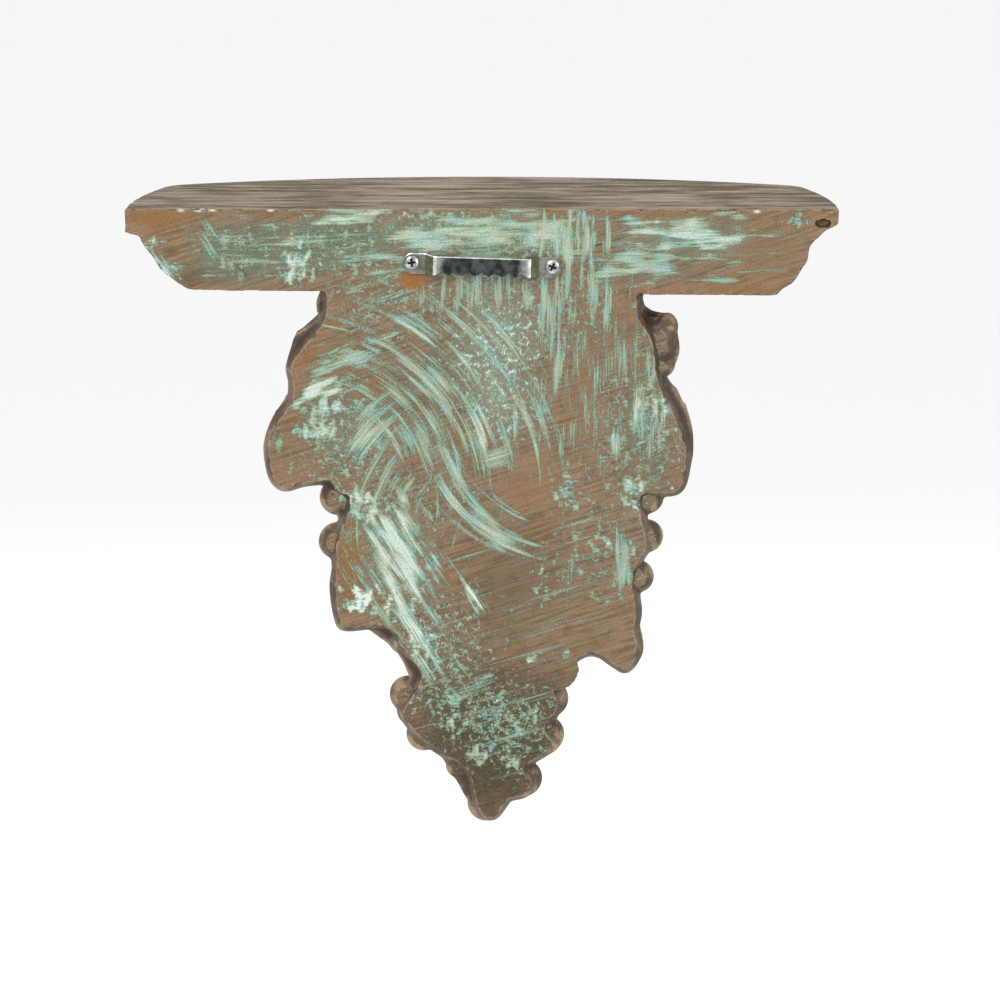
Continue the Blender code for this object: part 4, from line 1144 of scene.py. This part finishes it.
def hanger():
    """The strip as one skin. Legs and tabs have steels of their own, and bends and upper edge get a painted
    highlight.
    """
    half = strip_line()
    line = [Vector((-point.x, point.y)) for point in reversed(half[1:])] + half
    bm = bmesh.new()
    rings = []
    for index, point in enumerate(line):
        run = line[min(index + 1, len(line) - 1)] - line[max(index - 1, 0)]
        away = Vector((-run.y, run.x)).normalized() * HANGER_THICKNESS / 2
        low, high = strip_edges(abs(point.x))
        shy = min(SHEARED_EDGE, (high - low) * 0.3)
        under, over = point - away, point + away
        rim = over - away.normalized() * EDGE_DROP
        rings.append([
            (under.x, under.y, low), (rim.x, rim.y, low), (over.x, over.y, low + shy),
            (over.x, over.y, high - shy), (rim.x, rim.y, high), (under.x, under.y, high),
        ])
    skin(bm, rings)
    bmesh.ops.recalc_face_normals(bm, faces=bm.faces)
    # Painted highlight on the upper edge and the bends' faces; the bridge's and legs' steels carry painted
    # reflections
    bridge_end = HANGER_BRIDGE / 2 + PAINTED_HIGHLIGHT_BAND
    for face in bm.faces:
        middle = face.calc_center_median()
        reach = abs(middle.x)
        if reach > bridge_end:
            face.material_index = 2 if reach < HANGER_FOOT else 3
        upper = abs(face.normal.z) > 0.2 and middle.z > HANGER_WIDTH / 2 - TOOTH_DEPTH
        at_bend = HANGER_BRIDGE / 2 - PAINTED_HIGHLIGHT_BAND < reach < bridge_end
        if (upper and (reach < bridge_end or middle.x > 0)) or (face.normal.y > 0.2 and at_bend):
            face.material_index = 1
    bm.transform(Matrix.Rotation(-HANGER_TILT, 4, "Y"))
    mesh = mesh_of(bm, "saw_tooth_strip")
    mesh.shade_smooth()
    mesh.set_sharp_from_angle(angle=math.radians(22))
    return mesh


def worn_steel_with_painted_light(name, dark, bright, gloss, reflection_from=None):
    """Steel with dull patches and fine scratches, lightened by a painted reflection from so many millimetres
    off the middle.
    """
    made, tree, surface = shader(name, {"Metallic": 1.0})
    place = millimetres(tree)
    patch = grain(tree, place, 3.5, 4.0, 0.6)
    scratch = grain(tree, vectors(tree, "MULTIPLY", turned(tree, place, 30), (0.3, 3.0, 1.0)), 1.0, 3.0, 0.7)
    colour = mixed(tree, eased(tree, patch, 0.36, 0.66), dark, bright)
    colour = mixed(tree, eased(tree, scratch, 0.62, 0.74, 0.35), colour, [value * 1.8 for value in bright])
    if reflection_from:
        x, _, _ = parts(tree, place)
        # Painted reflection, lighter towards the bridge's ends
        worn = maths(tree, "MULTIPLY_ADD", patch, 5.0, maths(tree, "ABSOLUTE", x))
        colour = mixed(tree, eased(tree, worn, reflection_from, reflection_from + 5.0, 0.8), colour, PAINTED_BRIDGE_REFLECTION)
    tree.links.new(colour, surface.inputs["Base Color"])
    tree.links.new(maths(tree, "MULTIPLY_ADD", patch, 0.25, gloss), surface.inputs["Roughness"])
    relief(tree, surface, 0.00003, scratch)
    return made


# Painted reflections: the bridge's steel dark and lighter towards its ends, the legs' olive. Painted
# highlight: the edge steel
STRIP_STEELS = [
    worn_steel_with_painted_light("bridge_steel_painted_reflection", (0.026, 0.028, 0.028), (0.085, 0.092, 0.095), 0.24, BRIDGE_REFLECTION_FROM),
    worn_steel_with_painted_light("painted_highlight_steel", (0.50, 0.52, 0.48), (0.80, 0.82, 0.78), 0.12),
    worn_steel_with_painted_light("leg_steel_painted_reflection", (0.085, 0.095, 0.050), (0.150, 0.170, 0.105), 0.30),
    worn_steel_with_painted_light("tab_steel", (0.140, 0.130, 0.110), (0.270, 0.270, 0.240), 0.25),
]

strip = shown("toothed_strip", hanger(), STRIP_STEELS)
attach(strip, "root")
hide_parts("saw_tooth_hanger")


# Screws
# Two pan-head screws with a cross recess hold the hanger's tabs. Heads 6.2 mm across and 1.9 mm high.
SCREW_ALONG_TAB = 0.61
SCREW_UP_TAB = 0.557
SCREW_HEAD_RADIUS = 0.0031
SCREW_HEAD_HEIGHT = 0.0019
SCREW_SHANK_RADIUS = 0.0014
SCREW_SHANK_LENGTH = 0.0120
RECESS_LENGTH = 0.61
RECESS_WIDTH = 0.16
RECESS_DEPTH = 0.58
RECESS_SHADE_DEPTH = 0.00012
SCREW_SEAT = CONTACT_GAP * 2 + HANGER_THICKNESS
SCREW_TURNS = {1: math.radians(8), -1: math.radians(-22)}


def closed_mesh(rings, name):
    """Mesh of one closed skin, with its faces turned outwards."""
    bm = bmesh.new()
    skin(bm, rings)
    bmesh.ops.recalc_face_normals(bm, faces=bm.faces)
    return mesh_of(bm, name)


def dome_height(lift):
    """Height of the head's dome, with a lift of 0 at its rim and 1 at its crown."""
    return SCREW_SEAT + SCREW_HEAD_HEIGHT * (0.34 + 0.66 * lift)


def plain_screw():
    """One screw along +Y from the back, its tip in the casting and its head on the tab."""
    profile = [
        (SCREW_SHANK_RADIUS * 0.25, SCREW_SEAT - SCREW_SHANK_LENGTH),
        (SCREW_SHANK_RADIUS, SCREW_SEAT - SCREW_SHANK_LENGTH * 0.8), (SCREW_SHANK_RADIUS, SCREW_SEAT),
        (SCREW_HEAD_RADIUS * 0.96, SCREW_SEAT), (SCREW_HEAD_RADIUS, SCREW_SEAT + SCREW_HEAD_HEIGHT * 0.06),
    ]
    for turn in np.radians(np.linspace(0, 80, 9)):
        profile.append((SCREW_HEAD_RADIUS * math.cos(turn), dome_height(math.sin(turn))))
    rings = []
    for radius, y in profile:
        turns = np.linspace(0, math.tau, 48, endpoint=False)
        rings.append([(radius * math.cos(turn), y, radius * math.sin(turn)) for turn in turns])
    return closed_mesh(rings, "screw")


def cross_recess():
    """Tool in the shape of the recess, tapering into the head."""
    long, arm = SCREW_HEAD_RADIUS * RECESS_LENGTH, SCREW_HEAD_RADIUS * RECESS_WIDTH
    plan = [(long, -arm), (long, arm), (arm, arm), (arm, long), (-arm, long), (-arm, arm)]
    plan += [(-x, -z) for x, z in plan]
    top = SCREW_SEAT + SCREW_HEAD_HEIGHT
    reach = SCREW_HEAD_HEIGHT * RECESS_DEPTH
    rings = []
    for y, share in ((top - reach, 0.7), (top + reach, 1.2)):
        rings.append([(x * share, y, z * share) for x, z in plan])
    return closed_mesh(rings, "recess")


def cut(mesh, tool):
    """The mesh with a closed tool's shape taken out."""
    carrier = placed("carrier", mesh)
    cutter = placed("cutter", tool)
    modifier = carrier.modifiers.new("cut", "BOOLEAN")
    modifier.operation = "DIFFERENCE"
    modifier.object = cutter
    made = settled(carrier)
    bpy.data.objects.remove(cutter)
    return made


def darken_recess(mesh):
    """Gives the faces that lie under the dome's own height the second material."""
    for face in mesh.polygons:
        reach = math.hypot(face.center.x, face.center.z) / SCREW_HEAD_RADIUS
        dome = dome_height(math.sqrt(max(1 - reach * reach, 0)))
        under = SCREW_SEAT < face.center.y < dome - RECESS_SHADE_DEPTH
        face.material_index = 1 if under and reach < RECESS_LENGTH * 1.05 else 0


def two_screws():
    head = cut(plain_screw(), cross_recess())
    darken_recess(head)
    bm = bmesh.new()
    x = HANGER_FOOT + HANGER_TAB * SCREW_ALONG_TAB
    z = HANGER_WIDTH * SCREW_UP_TAB - TOOTH_DEPTH
    for side, turn in SCREW_TURNS.items():
        one = head.copy()
        place = Matrix.Translation((side * x, 0.0, z)) @ Matrix.Rotation(turn, 4, "Y")
        one.transform(Matrix.Rotation(-HANGER_TILT, 4, "Y") @ place)
        bm.from_mesh(one)
    mesh = mesh_of(bm, "pan_head_screws")
    mesh.shade_smooth()
    mesh.set_sharp_from_angle(angle=math.radians(35))
    return mesh


SCREW_STEELS = [
    worn_steel_with_painted_light("screw_steel", (0.22, 0.22, 0.23), (0.66, 0.66, 0.68), 0.12),
    worn_steel_with_painted_light("recess_shadow", (0.012, 0.012, 0.014), (0.040, 0.040, 0.045), 0.40),
]

screws = shown("cross_head_screws", two_screws(), SCREW_STEELS)
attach(screws, "root")
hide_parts("hanger_screw_left", "hanger_screw_right")


# Floor, light and camera
# Plain pale floor well below the bracket's tip, three soft lights, and a camera behind the shelf, a little
# above it.
FLOOR_HEIGHT = -0.60
MILLIMETRES_PER_PIXEL = 0.4229
CAMERA_TARGET = Vector((-0.0076, 0.0, -0.0972))
CAMERA_DISTANCE = 2.5
CAMERA_RISE = math.radians(9.4)
CAMERA_YAW = math.radians(0.5)


def stage_floor():
    bpy.ops.mesh.primitive_plane_add(size=60, location=(0, 0, FLOOR_HEIGHT))
    floor = bpy.context.object
    floor.name = "floor"
    white, _, _ = shader("floor_white", {"Base Color": (0.92, 0.92, 0.92, 1.0), "Roughness": 0.9})
    floor.data.materials.append(white)


def soft_light(name, place, size, power, tint):
    light = bpy.data.lights.new(name, "AREA")
    light.shape = "DISK"
    light.size = size
    light.energy = power
    light.color = tint
    holder = bpy.data.objects.new(name, light)
    holder.location = place
    holder.rotation_euler = (CAMERA_TARGET - Vector(place)).to_track_quat("-Z", "Y").to_euler()
    bpy.context.scene.collection.objects.link(holder)


def pale_world():
    world = bpy.data.worlds.new("pale_world")
    world.use_nodes = True
    sky = world.node_tree.nodes["Background"]
    sky.inputs["Color"].default_value = (0.99, 0.995, 1.0, 1.0)
    sky.inputs["Strength"].default_value = 1.0
    bpy.context.scene.world = world


def camera():
    data = bpy.data.cameras.new("camera")
    data.sensor_width = 36.0
    data.lens = CAMERA_DISTANCE * data.sensor_width / MILLIMETRES_PER_PIXEL
    level = math.cos(CAMERA_RISE)
    back = Vector((-math.sin(CAMERA_YAW) * level, math.cos(CAMERA_YAW) * level, math.sin(CAMERA_RISE)))
    holder = bpy.data.objects.new("camera", data)
    holder.location = CAMERA_TARGET + back * CAMERA_DISTANCE
    holder.rotation_euler = (-back).to_track_quat("-Z", "Y").to_euler()
    bpy.context.scene.collection.objects.link(holder)
    bpy.context.scene.camera = holder


stage_floor()
soft_light("key", (0.9, 1.3, 1.3), 1.2, 18, (1.0, 0.99, 0.97))
soft_light("fill", (-1.4, 1.1, 0.5), 1.6, 7, (0.97, 0.98, 1.0))
soft_light("front", (0.3, -1.8, 1.2), 1.8, 14, (1.0, 1.0, 1.0))
pale_world()
camera()
bpy.context.scene.view_settings.view_transform = "Standard"
